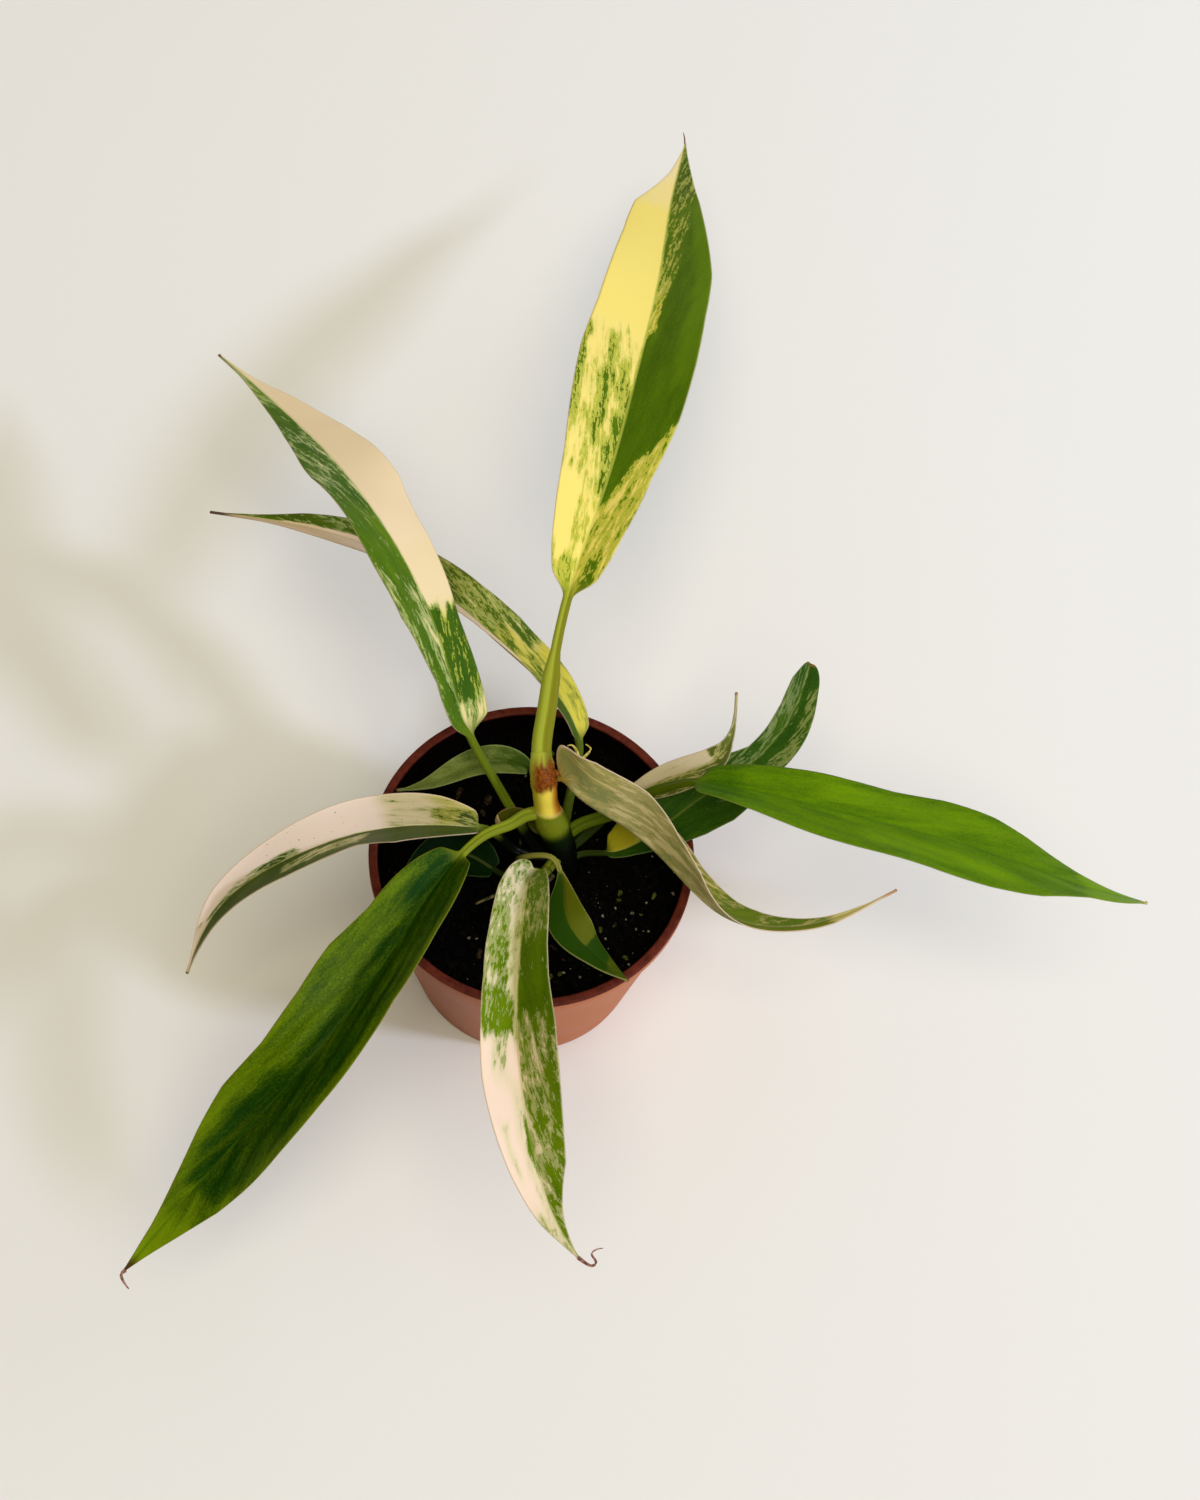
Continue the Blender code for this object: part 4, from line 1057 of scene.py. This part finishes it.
# %% Tall leaf
grow("tall_leaf", "leaf_tall", "cream_marbled_leaf", dict(
    half_width=23.5, widest=0.42, taper=0.9, lobe=3,
    stalk=[(1.2, 17.6, 121.9), (0, 21.5, 125), (-1, 27, 127.6), (-1, 38, 131.5), (-0.8, 56, 138)],
    blade=[(1, 79, 145), (9, 130, 141), (15, 190, 128), (19, 250, 108), (20, 310, 82), (23, 361, 60)],
    roll=(-5, -3, 2, 15), fold=(22, 20, 12),
    margins=((1.2, 1.08, 1.03, 1.06, 1.07, 1.0, 1.0, 1.02, 1.13, 0.47, 0.2),
             (1.3, 0.97, 0.88, 0.98, 1.0, 1.0, 1.06, 1.0, 0.95, 0.8, 0.6)),
    stalk_size=((3.7, 3.6), (3.65, 3.4), (3.6, 3.1), (3.5, 2.9), (3.3, 2.5), (1.9, 1.8), (1.8, 1.7),
                (1.8, 1.7))),
    (-0.4, 1.0, 0.5), [
        (-0.1, 0.07, -1.1, 0.0, 0.0, (0.44, 1.0, 0.6)),
        (0.07, 0.24, -0.55, 0.0, 0.0, (0.30, 1.0, 0.6)),
        (0.16, 0.40, -1.1, 0.0, 0.0, (0.26, 0.9, 0.6)),
        (0.40, 0.46, -1.1, 0.0, 0.0, (0.12, 0.9, 0.6)),
        (0.22, 0.46, -0.54, -0.38, 0.0, (0.56, 0.8, 0.3)),
        (0.16, 0.36, -0.26, 0.0, 0.0, (0.52, 0.8, 0.3)),
        (0.34, 0.42, -0.34, -0.08, 0.0, (0.36, 0.9, 0.5)),
        (0.26, 0.44, -1.1, -0.90, 0.0, (0.50, 0.8, 0.3)),
        (0.80, 1.10, -1.1, 0.0, 0.0, (-0.5, 0.6, 0.5)),
        (0.88, 1.10, -1.1, 0.0, 0.0, (-0.5, 0.2, 0.5)),
        (-0.5, 0.14, 0.0, 1.1, 0.16, (0.40, 1.0, 0.7)),
        (-0.1, 0.06, 0.45, 1.1, 0.0, (0.54, 1.0, 0.4)),
        (0.13, 0.40, 0.45, 1.1, 0.16, (0.38, 0.8, 0.5)),
        (0.14, 1.20, 0.0, 1.1, 0.16, (1.2, 0.8, 0.35)),
        (0.24, 1.20, 0.70, 1.1, 0.16, (1.2, 0.8, 0.7)),
        (0.47, 1.20, 0.0, 1.1, 0.40, (0.60, 0.6, 0.5)),
        (0.46, 0.57, 0.0, 0.22, 0.0, (0.34, 1.0, 0.5)),
        (0.82, 1.20, 0.0, 1.1, 0.0, (0.58, 0.3, 0.3))],
    cream="F9E2B0", lemon="FFE678", pale="A0AC58", pale_lemon="C6C244", fresh="688A0A", deep="425F06",
    rib="C8C850", rib_share=0.55, stripes=0.35, ragged=0.75, stalk="B4BC38", stalk_right="8A8917",
    margin="E2C9A4")

# %% [markdown]
# ## Leaves on the left
# The upper left leaf is cream on its right half above a ragged border. The one behind it is green above and cream
# below. The left one is folded hard along its midrib, so its pink-cream half faces up and its green half hangs.

# %% Left leaves
grow("upper_left_leaf", "leaf_upper_left", "cream_marbled_leaf", dict(
    half_width=16, widest=0.36, taper=0.75, begin=0.03, waves=(4, 1.0),
    foot=(89, 158), stalk=[(-5, 9, 97), (-11, 14.5, 104), (-18, 20, 115)],
    blade=[(-26.5, 28, 126), (-44, 62, 139), (-76, 110.5, 140), (-106, 150, 119), (-154, 202, 88)],
    roll=(-40, -38, -15, -35), fold=(8, 8, 12),
    margins=((0.8, 0.65, 1.26, 1.16, 1.1, 1.17, 0.97, 0.83, 0.65, 0.45, 0.3),
             (1.2, 1.0, 0.88, 0.93, 1.08, 1.3, 1.25, 1.12, 0.85, 0.5, 0.3)),
    stalk_size=((2.0, 1.8), (1.6, 1.5))),
    (0.72, 0.2, 0.3), [
        (-0.1, 0.07, 0.0, 1.1, 0.0, (0.30, 0.4, 0.4)),
        (0.07, 0.225, 0.0, 1.1, 0.0, (0.68, 1.0, 0.2)),
        (0.225, 0.34, 0.0, 1.1, 0.0, (-0.42, 0.10, 0.4)),
        (0.34, 1.20, 0.0, 1.1, 0.0, (-0.45, 0.0, 0.4)),
        (0.10, 0.26, -0.40, 0.0, 0.0, (0.42, 0.3, 0.4)),
        (0.08, 0.34, -1.1, -0.72, 0.0, (0.50, 0.4, 0.4)),
        (0.27, 0.42, -1.1, 0.0, 0.0, (0.80, 0.3, 0.5)),
        (0.44, 0.66, -1.1, 0.0, 0.0, (0.58, 0.1, 0.25)),
        (0.80, 1.20, -1.1, 0.0, 0.0, (0.50, 0.4, 0.6))],
    cream="F6DCB0", lemon="D6CE50", pale="A0AC6C", pale_lemon="9FA83A", fresh="668604", deep="34580A",
    specks=0.2, stripes=0.5, stalk="6A7A14", stalk_dark=0.35, margin="C9AE86", margin_share=0.35,
    tip="7A4A3A", dry=4.0)

grow("back_left_leaf", "leaf_back_left", "cream_marbled_leaf", dict(
    half_width=12.5, widest=0.35, taper=0.9,
    foot=(93, 95), stalk=[(11, 22, 96), (12, 33, 98)],
    blade=[(12, 44, 100), (4, 56, 108), (-19, 75, 110), (-70, 110.5, 105), (-143, 125, 95)],
    roll=(-40, -36, -20, -15), fold=(20, 25, 22),
    margins=((1, 1, 0.5, 0.6, 0.7, 1, 1, 0.9, 0.75, 0.5, 0.3),
             (1, 1, 1.15, 1.22, 1.02, 1, 1, 0.95, 0.85, 0.45, 0.2)),
    stalk_size=((2.0, 2.0), (1.6, 1.5))),
    (0.56, 0.3, 0.3), [
        (-0.1, 0.22, 0.0, 1.1, 0.0, (0.20, 1.0, 0.5)),
        (-0.1, 0.14, -1.1, 0.0, 0.0, (1.1, 0.3, 0.0)),
        (0.14, 0.34, -1.1, 0.5, 0.0, (0.40, 0.9, 0.5)),
        (0.30, 0.60, 0.0, 1.1, 0.0, (0.50, 0.4, 0.4)),
        (0.60, 1.20, 0.0, 1.1, 0.0, (0.60, 0.0, 0.4)),
        (0.22, 0.56, -1.1, -0.25, 0.0, (-0.3, 0.0, 0.5)),
        (0.56, 1.20, -1.1, 0.20, 0.0, (-0.3, 0.0, 0.5))],
    cream="EED3B4", lemon="D6C848", pale="94A25A", pale_lemon="A6A43C", fresh="667C1E", deep="3C5610",
    under="7C8048", stripes=0.3, stalk="5C6A18", margin="B79A80", tip="4A3038", dry=12.0)

grow("cream_left_leaf", "leaf_cream_left", "cream_marbled_leaf", dict(
    half_width=13.5, widest=0.28, taper=1.35,
    foot=(91, 200), stalk=[(-4, 0.5, 92), (-12, 1, 103)],
    blade=[(-19, -2, 116), (-45, -5, 117), (-78, -14.5, 108), (-109, -31, 86), (-123, -49, 52)],
    roll=(3, 4, 12, 20), fold=(55, 50, 45),
    margins=((1, 1.2, 1.4, 0.95, 1.0, 1.15, 1.15, 1.1, 1, 1, 1),
             (1, 1.15, 1.12, 1.1, 1.05, 1.05, 1.08, 1.1, 1.1, 1, 1)),
    stalk_size=((2.0, 1.8), (1.6, 1.5))),
    (0.98, 0.2, 0.3), [
        (-0.1, 1.20, 0.0, 1.1, 0.0, (-0.3, 0.0, 0.5)),
        (0.10, 0.24, 0.0, 1.1, 0.0, (0.14, 0.5, 0.5)),
        (-0.1, 0.12, 0.0, 1.1, 0.0, (0.30, 0.9, 0.3)),
        (-0.1, 0.05, 0.0, 0.7, 0.0, (0.56, 0.6, 0.2)),
        (0.46, 0.82, 0.0, 0.36, 0.0, (0.50, 0.1, 0.3)),
        (0.80, 1.20, 0.0, 1.1, 0.0, (0.20, 0.1, 0.5)),
        (0.28, 0.52, -0.75, -0.2, 0.0, (0.42, 0.2, 0.4))],
    cream="F8E2D0", lemon="C6BA62", pale="B0B27E", pale_lemon="9C9A38", fresh="66782A", deep="34481A",
    specks=0.9, stripes=0.3, margin="E0BFA6", rough=0.36, shine=0.10, stalk="6E7A1A", stalk_dark=0.85,
    tip="5A5A20")

# %% [markdown]
# ## Leaves in front
# The big plain leaf is deep green with soft lighter stripes along its veins. The middle one is marbled, with a
# pure cream stretch low on its left. The small one is olive on one half and dark on the other.

# %% Front leaves
grow("front_left_leaf", "leaf_front_left", "deep_green_leaf", dict(
    half_width=20.5, widest=0.4, taper=1.0, quilt=0.35,
    foot=(110, 205), stalk=[(-8.5, 1, 116.5), (-16, -5, 119.5)],
    blade=[(-23, -13, 120), (-43, -57, 125), (-67.5, -101, 119), (-88.5, -124, 97), (-122, -166, 67)],
    roll=(-12, -12, 14, 42), fold=(40, 42, 22),
    margins=((1.6, 1.38, 1.2, 1.18, 1.1, 1.12, 1.1, 1.12, 1.15, 1.0, 0.8),
             (1.2, 1.05, 0.95, 1.04, 0.94, 0.93, 1.05, 0.98, 0.87, 0.7, 0.8))),
    (1.5, 0.6, 0.20), [
        (0.08, 1.10, 0.50, 1.1, 0.0, (1.5, 0.6, 0.34)),
        (0.10, 1.10, 0.72, 1.1, 0.0, (1.5, 0.6, 0.55)),
        (0.16, 0.50, 0.25, 0.9, 0.0, (1.5, 0.6, 0.42)),
        (0.06, 1.10, -1.1, -0.80, 0.0, (1.5, 0.6, 0.50)),
        (0.80, 1.10, -1.1, 1.1, 0.0, (1.5, 0.6, 0.50)),
        (0.87, 1.10, -1.1, 1.1, 0.0, (1.5, 0.6, 0.75)),
        (0.93, 1.10, -1.1, 1.1, 0.0, (1.5, 0.6, 1.00))],
    fresh="728A00", deep="103800", rib="2C5404", rib_share=0.35, margin="7A7410", stripes=0.4, rough=0.42,
    shine=0.06, stalk="8E9A22", tip="4A2A10", dry=9.0)

grow("front_marbled_leaf", "leaf_front_marbled", "cream_marbled_leaf", dict(
    half_width=15, widest=0.46, taper=0.9,
    foot=(92, 260), stalk=[(5.5, -10.5, 102.5)],
    blade=[(3, -14, 111), (1, -36, 134), (5, -87, 140), (18.5, -133, 140), (25.5, -147, 140.5),
           (35, -159, 141)],
    roll=(8, -10, -4, 0), fold=(45, 42, 8),
    margins=((1, 1, 1, 1.03, 1.06, 1.24, 1.18, 1.12, 1.08, 0.6, 0.2),
             (1.1, 1.1, 1.15, 1.02, 0.96, 1.03, 1.09, 1.07, 1.07, 1.0, 0.6)),
    stalk_size=((2.2, 2.0), (1.6, 1.5))),
    (0.60, 0.5, 0.5), [
        (-0.1, 0.30, -1.1, 0.0, 0.0, (0.54, 0.6, 0.5)),
        (0.30, 0.48, -1.1, 0.0, 0.0, (0.80, 0.5, 0.4)),
        (0.48, 0.84, -0.75, 0.0, 0.0, (0.47, 0.5, 0.6)),
        (-0.1, 0.08, 0.0, 1.1, 0.0, (0.12, 0.9, 0.3)),
        (0.05, 0.26, 0.0, 1.1, 0.0, (0.33, 0.5, 0.3)),
        (0.12, 0.52, 0.0, 0.34, 0.0, (0.20, 0.9, 0.5)),
        (0.24, 0.42, 0.50, 1.1, 0.0, (0.46, 0.6, 0.6)),
        (0.42, 0.53, 0.16, 1.1, 0.0, (0.66, 0.6, 0.7)),
        (0.53, 1.20, 0.0, 1.1, 0.0, (-0.5, 0.0, 0.5)),
        (0.52, 0.60, 0.25, 0.75, 0.0, (0.20, 0.5, 0.5)),
        (0.68, 0.80, 0.55, 0.80, 0.0, (0.22, 0.6, 0.5)),
        (0.60, 1.20, 0.0, 0.36, 0.0, (0.16, 0.5, 0.5)),
        (0.69, 0.82, 0.0, 0.10, 0.0, (0.90, 0.5, 0.3)),
        (0.88, 1.20, 0.0, 1.1, 0.0, (0.20, 0.6, 0.5))],
    cream="FBDFC4", lemon="DDD39A", pale="98A068", pale_lemon="AEB060", fresh="6C8800", deep="466400",
    stripes=0.6, streak_size=(8.0, 2.6), margin="E6C8AE", margin_share=0.4, stalk="7E8420", tip="8A5A44")

grow("front_small_leaf", "leaf_front_small", "fresh_green_leaf", dict(
    half_width=8.5, widest=0.55, taper=0.9, waves=(2, 0.3), stations=120,
    stalk=[(*SHOOT_FOOT, 77), (-7.8, -2.4, 87), (-4.4, -3.6, 96.5), (3, -4.4, 104), (8.5, -6, 106)],
    blade=[(11, -9, 104), (16, -29, 107), (41, -46, 98)],
    roll=(-27, 0, 35, 55), fold=(10, 6, 4), stalk_size=((1.2, 1.2), (1.0, 1.0))),
    (1.5, 0.6, -0.3), [
        (-0.1, 0.62, -1.1, 0.0, 0.0, (1.5, 0.6, 1.2)),
        (0.80, 1.10, -1.1, 1.1, 0.0, (1.5, 0.6, 0.5))],
    fresh="585E0C", deep="244002", rib_share=0.0, margin="A09C52", margin_share=0.4, stalk="9A9644",
    stalk_dark=0.62, stripes=0.5)

# %% [markdown]
# ## Leaves on the right
# One leaf twists so far that its pale underside shows, with a pinkish margin. Behind it stand the bright plain
# leaf, the folded dark one and the small pale one with a turned-up tip.

# %% Right leaves
grow("right_twisted_leaf", "leaf_right_twisted", "pale_underside_leaf", dict(
    half_width=13.5, widest=0.22, taper=1.5, begin=0.05, waves=(2, 0.3), lobe=18,
    stalk=[(6.4, 18.2, 123.2), (7, 18.1, 123.8)],
    blade=[(7.8, 17.9, 124.1), (14.6, 13.2, 124.5), (30.5, 6.8, 119.5), (50, -4, 112.5),
           (72.5, -18, 104), (100, -16.2, 97), (136, 6, 91)],
    roll=(80, 80, 55, 25, 18, 18), fold=(55, 55, 45, 25, 15, 15),
    margins=((0.55, 1.05, 1.05, 1.0, 0.8, 0.85, 0.85, 0.75, 0.55, 0.6, 0.6),
             (0.55, 1.1, 1.15, 1.05, 1.15, 1.0, 0.6, 0.7, 1.0, 1.0, 0.8)),
    stalk_size=((1.2, 1.1), (1.3, 1.1))),
    (0.38, 0.5, 0.5), [
        (-0.1, 0.14, -1.1, 1.1, 0.0, (0.50, 0.8, 0.5)),
        (0.50, 1.10, 0.0, 1.1, 0.0, (0.80, 0.9, 1.0)),
        (0.50, 1.10, -1.1, 0.0, 0.0, (0.70, 0.2, 0.3)),
        (0.80, 1.10, -1.1, 1.1, 0.0, (0.20, 0.8, 0.5))],
    cream="D4C69C", lemon="C8BA60", pale="968E52", pale_lemon="908A2C", fresh="74801A", deep="506618",
    under="AA9C7A", under_share=0.34, margin="E4C8AC", margin_share=0.8, rib="B8AE80", rib_share=0.2,
    stalk="9A7A2C", stripes=0.4, rough=0.5, tip="D8A888", dry=9.0)

grow("right_green_leaf", "leaf_right_green", "fresh_green_leaf", dict(
    half_width=19.5, widest=0.5, taper=0.75, begin=0.04, quilt=0.2,
    foot=(98, 30), stalk=[(30, 17, 104), (39.5, 22, 112), (47, 22.5, 120)],
    blade=[(54.5, 21, 129), (80, 18, 134), (115, 15, 131), (162, 11, 124), (206, 7, 111), (229, 13, 92)],
    roll=(26, 24, 24, 45), fold=(10, 6, 8),
    margins=((1.1, 1.1, 0.98, 0.9, 0.88, 0.95, 0.9, 0.72, 0.5, 0.35, 0.3),
             (1, 1.05, 1.03, 1, 1, 1, 1, 0.95, 0.57, 0.6, 0.5))),
    (1.5, 0.6, 0.50), [
        (-0.1, 0.10, -1.1, 1.1, 0.0, (1.5, 0.6, 0.30)),
        (0.20, 0.56, -0.80, -0.30, 0.1, (1.5, 0.6, 0.68)),
        (0.28, 0.62, 0.30, 0.75, 0.1, (1.5, 0.6, 0.66)),
        (0.80, 1.10, -1.1, 1.1, 0.0, (1.5, 0.6, 0.9))],
    fresh="709400", deep="305600", rib="42680A", rib_share=0.4, margin="7A8A2A", stalk="5C6E0C",
    stripes=0.35, specks=0.15, tip="C8B060", dry=7.0)

grow("right_folded_leaf", "leaf_right_folded", "deep_green_leaf", dict(
    half_width=11, widest=0.48, taper=0.5, waves=(3, 0.8), stations=140,
    foot=(90, 15), stalk=[],
    blade=[(26.4, 4.4, 93), (54.5, 24, 98.5), (87, 60, 102), (95, 88, 105)],
    roll=(10, -6, -26, -30), fold=(16, 30, 34),
    margins=((1.5, 1.6, 1.2, 1.1, 1.0, 0.9, 0.6, 0.75, 1.0, 1.5, 1.3),
             (0.6, 0.7, 1.1, 1.4, 1.5, 1.3, 1.0, 1.0, 1.0, 1.05, 1.3)),
    stalk_size=THIN_STALK),
    (0.90, 0.3, 0.30), [
        (-0.1, 0.13, -1.1, 0.0, 0.0, (0.10, 1.0, 0.5)),
        (0.50, 0.98, -1.1, 0.1, 0.0, (0.56, 0.1, 0.3)),
        (0.60, 0.90, 0.45, 1.1, 0.0, (0.50, 0.3, 0.3))],
    cream="A0A070", lemon="A59A14", pale="6C7E48", pale_lemon="8E8C20", fresh="4E6E10", deep="22460A",
    specks=0.2, stripes=0.5, stalk="2A380A", margin="7A8450", margin_share=0.3, rib_share=0.15)

grow("right_pale_leaf", "leaf_right_pale", "pale_underside_leaf", dict(
    half_width=6.5, widest=0.35, taper=1.6, begin=0.03, waves=(2, 0.3), stations=120,
    foot=(92, 50), stalk=[(24, 16.5, 97.5)],
    blade=[(33, 24, 102.3), (51, 31, 112.5), (65, 39, 121.5), (67, 61, 126)],
    roll=(-20, -20, -15, -10), fold=(20, 22, 22),
    margins=((1.2, 1, 1, 1, 1, 1, 1, 0.75, 0.5, 0.5, 0.5), (1, 1, 1, 1, 1, 1, 0.9, 0.4, 0.3, 0.4, 0.4)),
    stalk_size=((1.6, 1.3), (3.2, 1.2))),
    (0.44, 0.3, 0.4), [
        (-0.1, 0.56, -1.1, -0.15, 0.0, (-0.05, 0.2, 0.5)),
        (0.56, 0.78, -1.1, 1.1, 0.0, (0.70, 0.3, 0.3)),
        (-0.1, 0.45, 0.0, 1.1, 0.0, (0.50, 0.4, 0.6))],
    cream="DCCBAC", lemon="C6BC78", pale="B0AA70", pale_lemon="A6A048", fresh="727C30", deep="4E5A1E",
    margin="C9B59A", margin_share=0.6, stalk="26340A", stripes=0.3, rib_share=0.2)

# %% [markdown]
# ## Low leaves and the old sheath
# Two small leaves lie low inside the pot, one grey-green and arched, the other painted nearly black as
# painted shade. An olive sheath, left by a fallen leaf, still clasps the stem.

# %% Low leaves
grow("low_arched_leaf", "leaf_low_arched", "deep_green_leaf", dict(
    half_width=6.3, widest=0.3, taper=1.4, waves=(2, 0.3), stations=120,
    foot=(101, 120), stalk=[(0, 26.5, 101)],
    blade=[(-5, 30, 102), (-25, 28, 105), (-41, 19, 102), (-53, 17.5, 96)],
    roll=(10, 8, 4, 3), fold=(28, 30, 30), stalk_size=THIN_STALK),
    (1.3, 0.4, 0.6), [
        (-0.1, 0.30, -1.1, 1.1, -0.1, (1.3, 0.4, 0.4)),
        (-0.1, 0.16, -1.1, 1.1, -0.1, (1.3, 0.4, 0.1))],
    fresh="7E8840", deep="3A5010", stripes=0.6, stalk="141E06", margin="8E9860", margin_share=0.5,
    rib_share=0.0)

# Painted shade: this leaf's greens are painted nearly black.
grow("low_shaded_leaf", "leaf_low_dark", "deep_green_leaf", dict(
    half_width=9.5, widest=0.43, taper=0.75, waves=(2, 0.3), stations=120,
    foot=(90, 240), stalk=[(-3, -9.5, 92)],
    blade=[(-13, -8, 93.5), (-25, -4, 95), (-36, -10, 97), (-45, -18, 98)],
    roll=(0, 10, 20, 25), fold=(12, 12, 10), stalk_size=THIN_STALK),
    (1.3, 0.4, 0.1), [], fresh="143402", deep="041801", stripes=0.3, stalk="121E06", margin="4A6030",
    margin_share=0.4, rib_share=0.1, shine=0.02)

grow("old_sheath_surface", "old_sheath", "olive_sheath", dict(
    half_width=5, widest=0.5, taper=0.4, waves=(1, 0.2), stations=90,
    foot=(101, 170), stalk=[],
    blade=[(-4, 10, 103.2), (-6.5, 8.8, 104), (-10, 6.8, 105.2), (-14, 4.2, 106.2)],
    roll=(0, 0), fold=(40, 35, 30), stalk_size=((1.6, 1.2), (1.4, 1.0))),
    (1.2, 0.6, 0.5), [(0.85, 1.1, -1.1, 1.1, 0.0, (-0.3, 0.0, 0.5))],
    cream="CFC8A8", fresh="545606", deep="3A3C04", stripes=0.3, stalk="4A4A10", margin="8E6A44")

# %% [markdown]
# ## Finish
# The view layer is brought up to date once every piece is in place.

# %% Update the scene
bpy.context.view_layer.update()
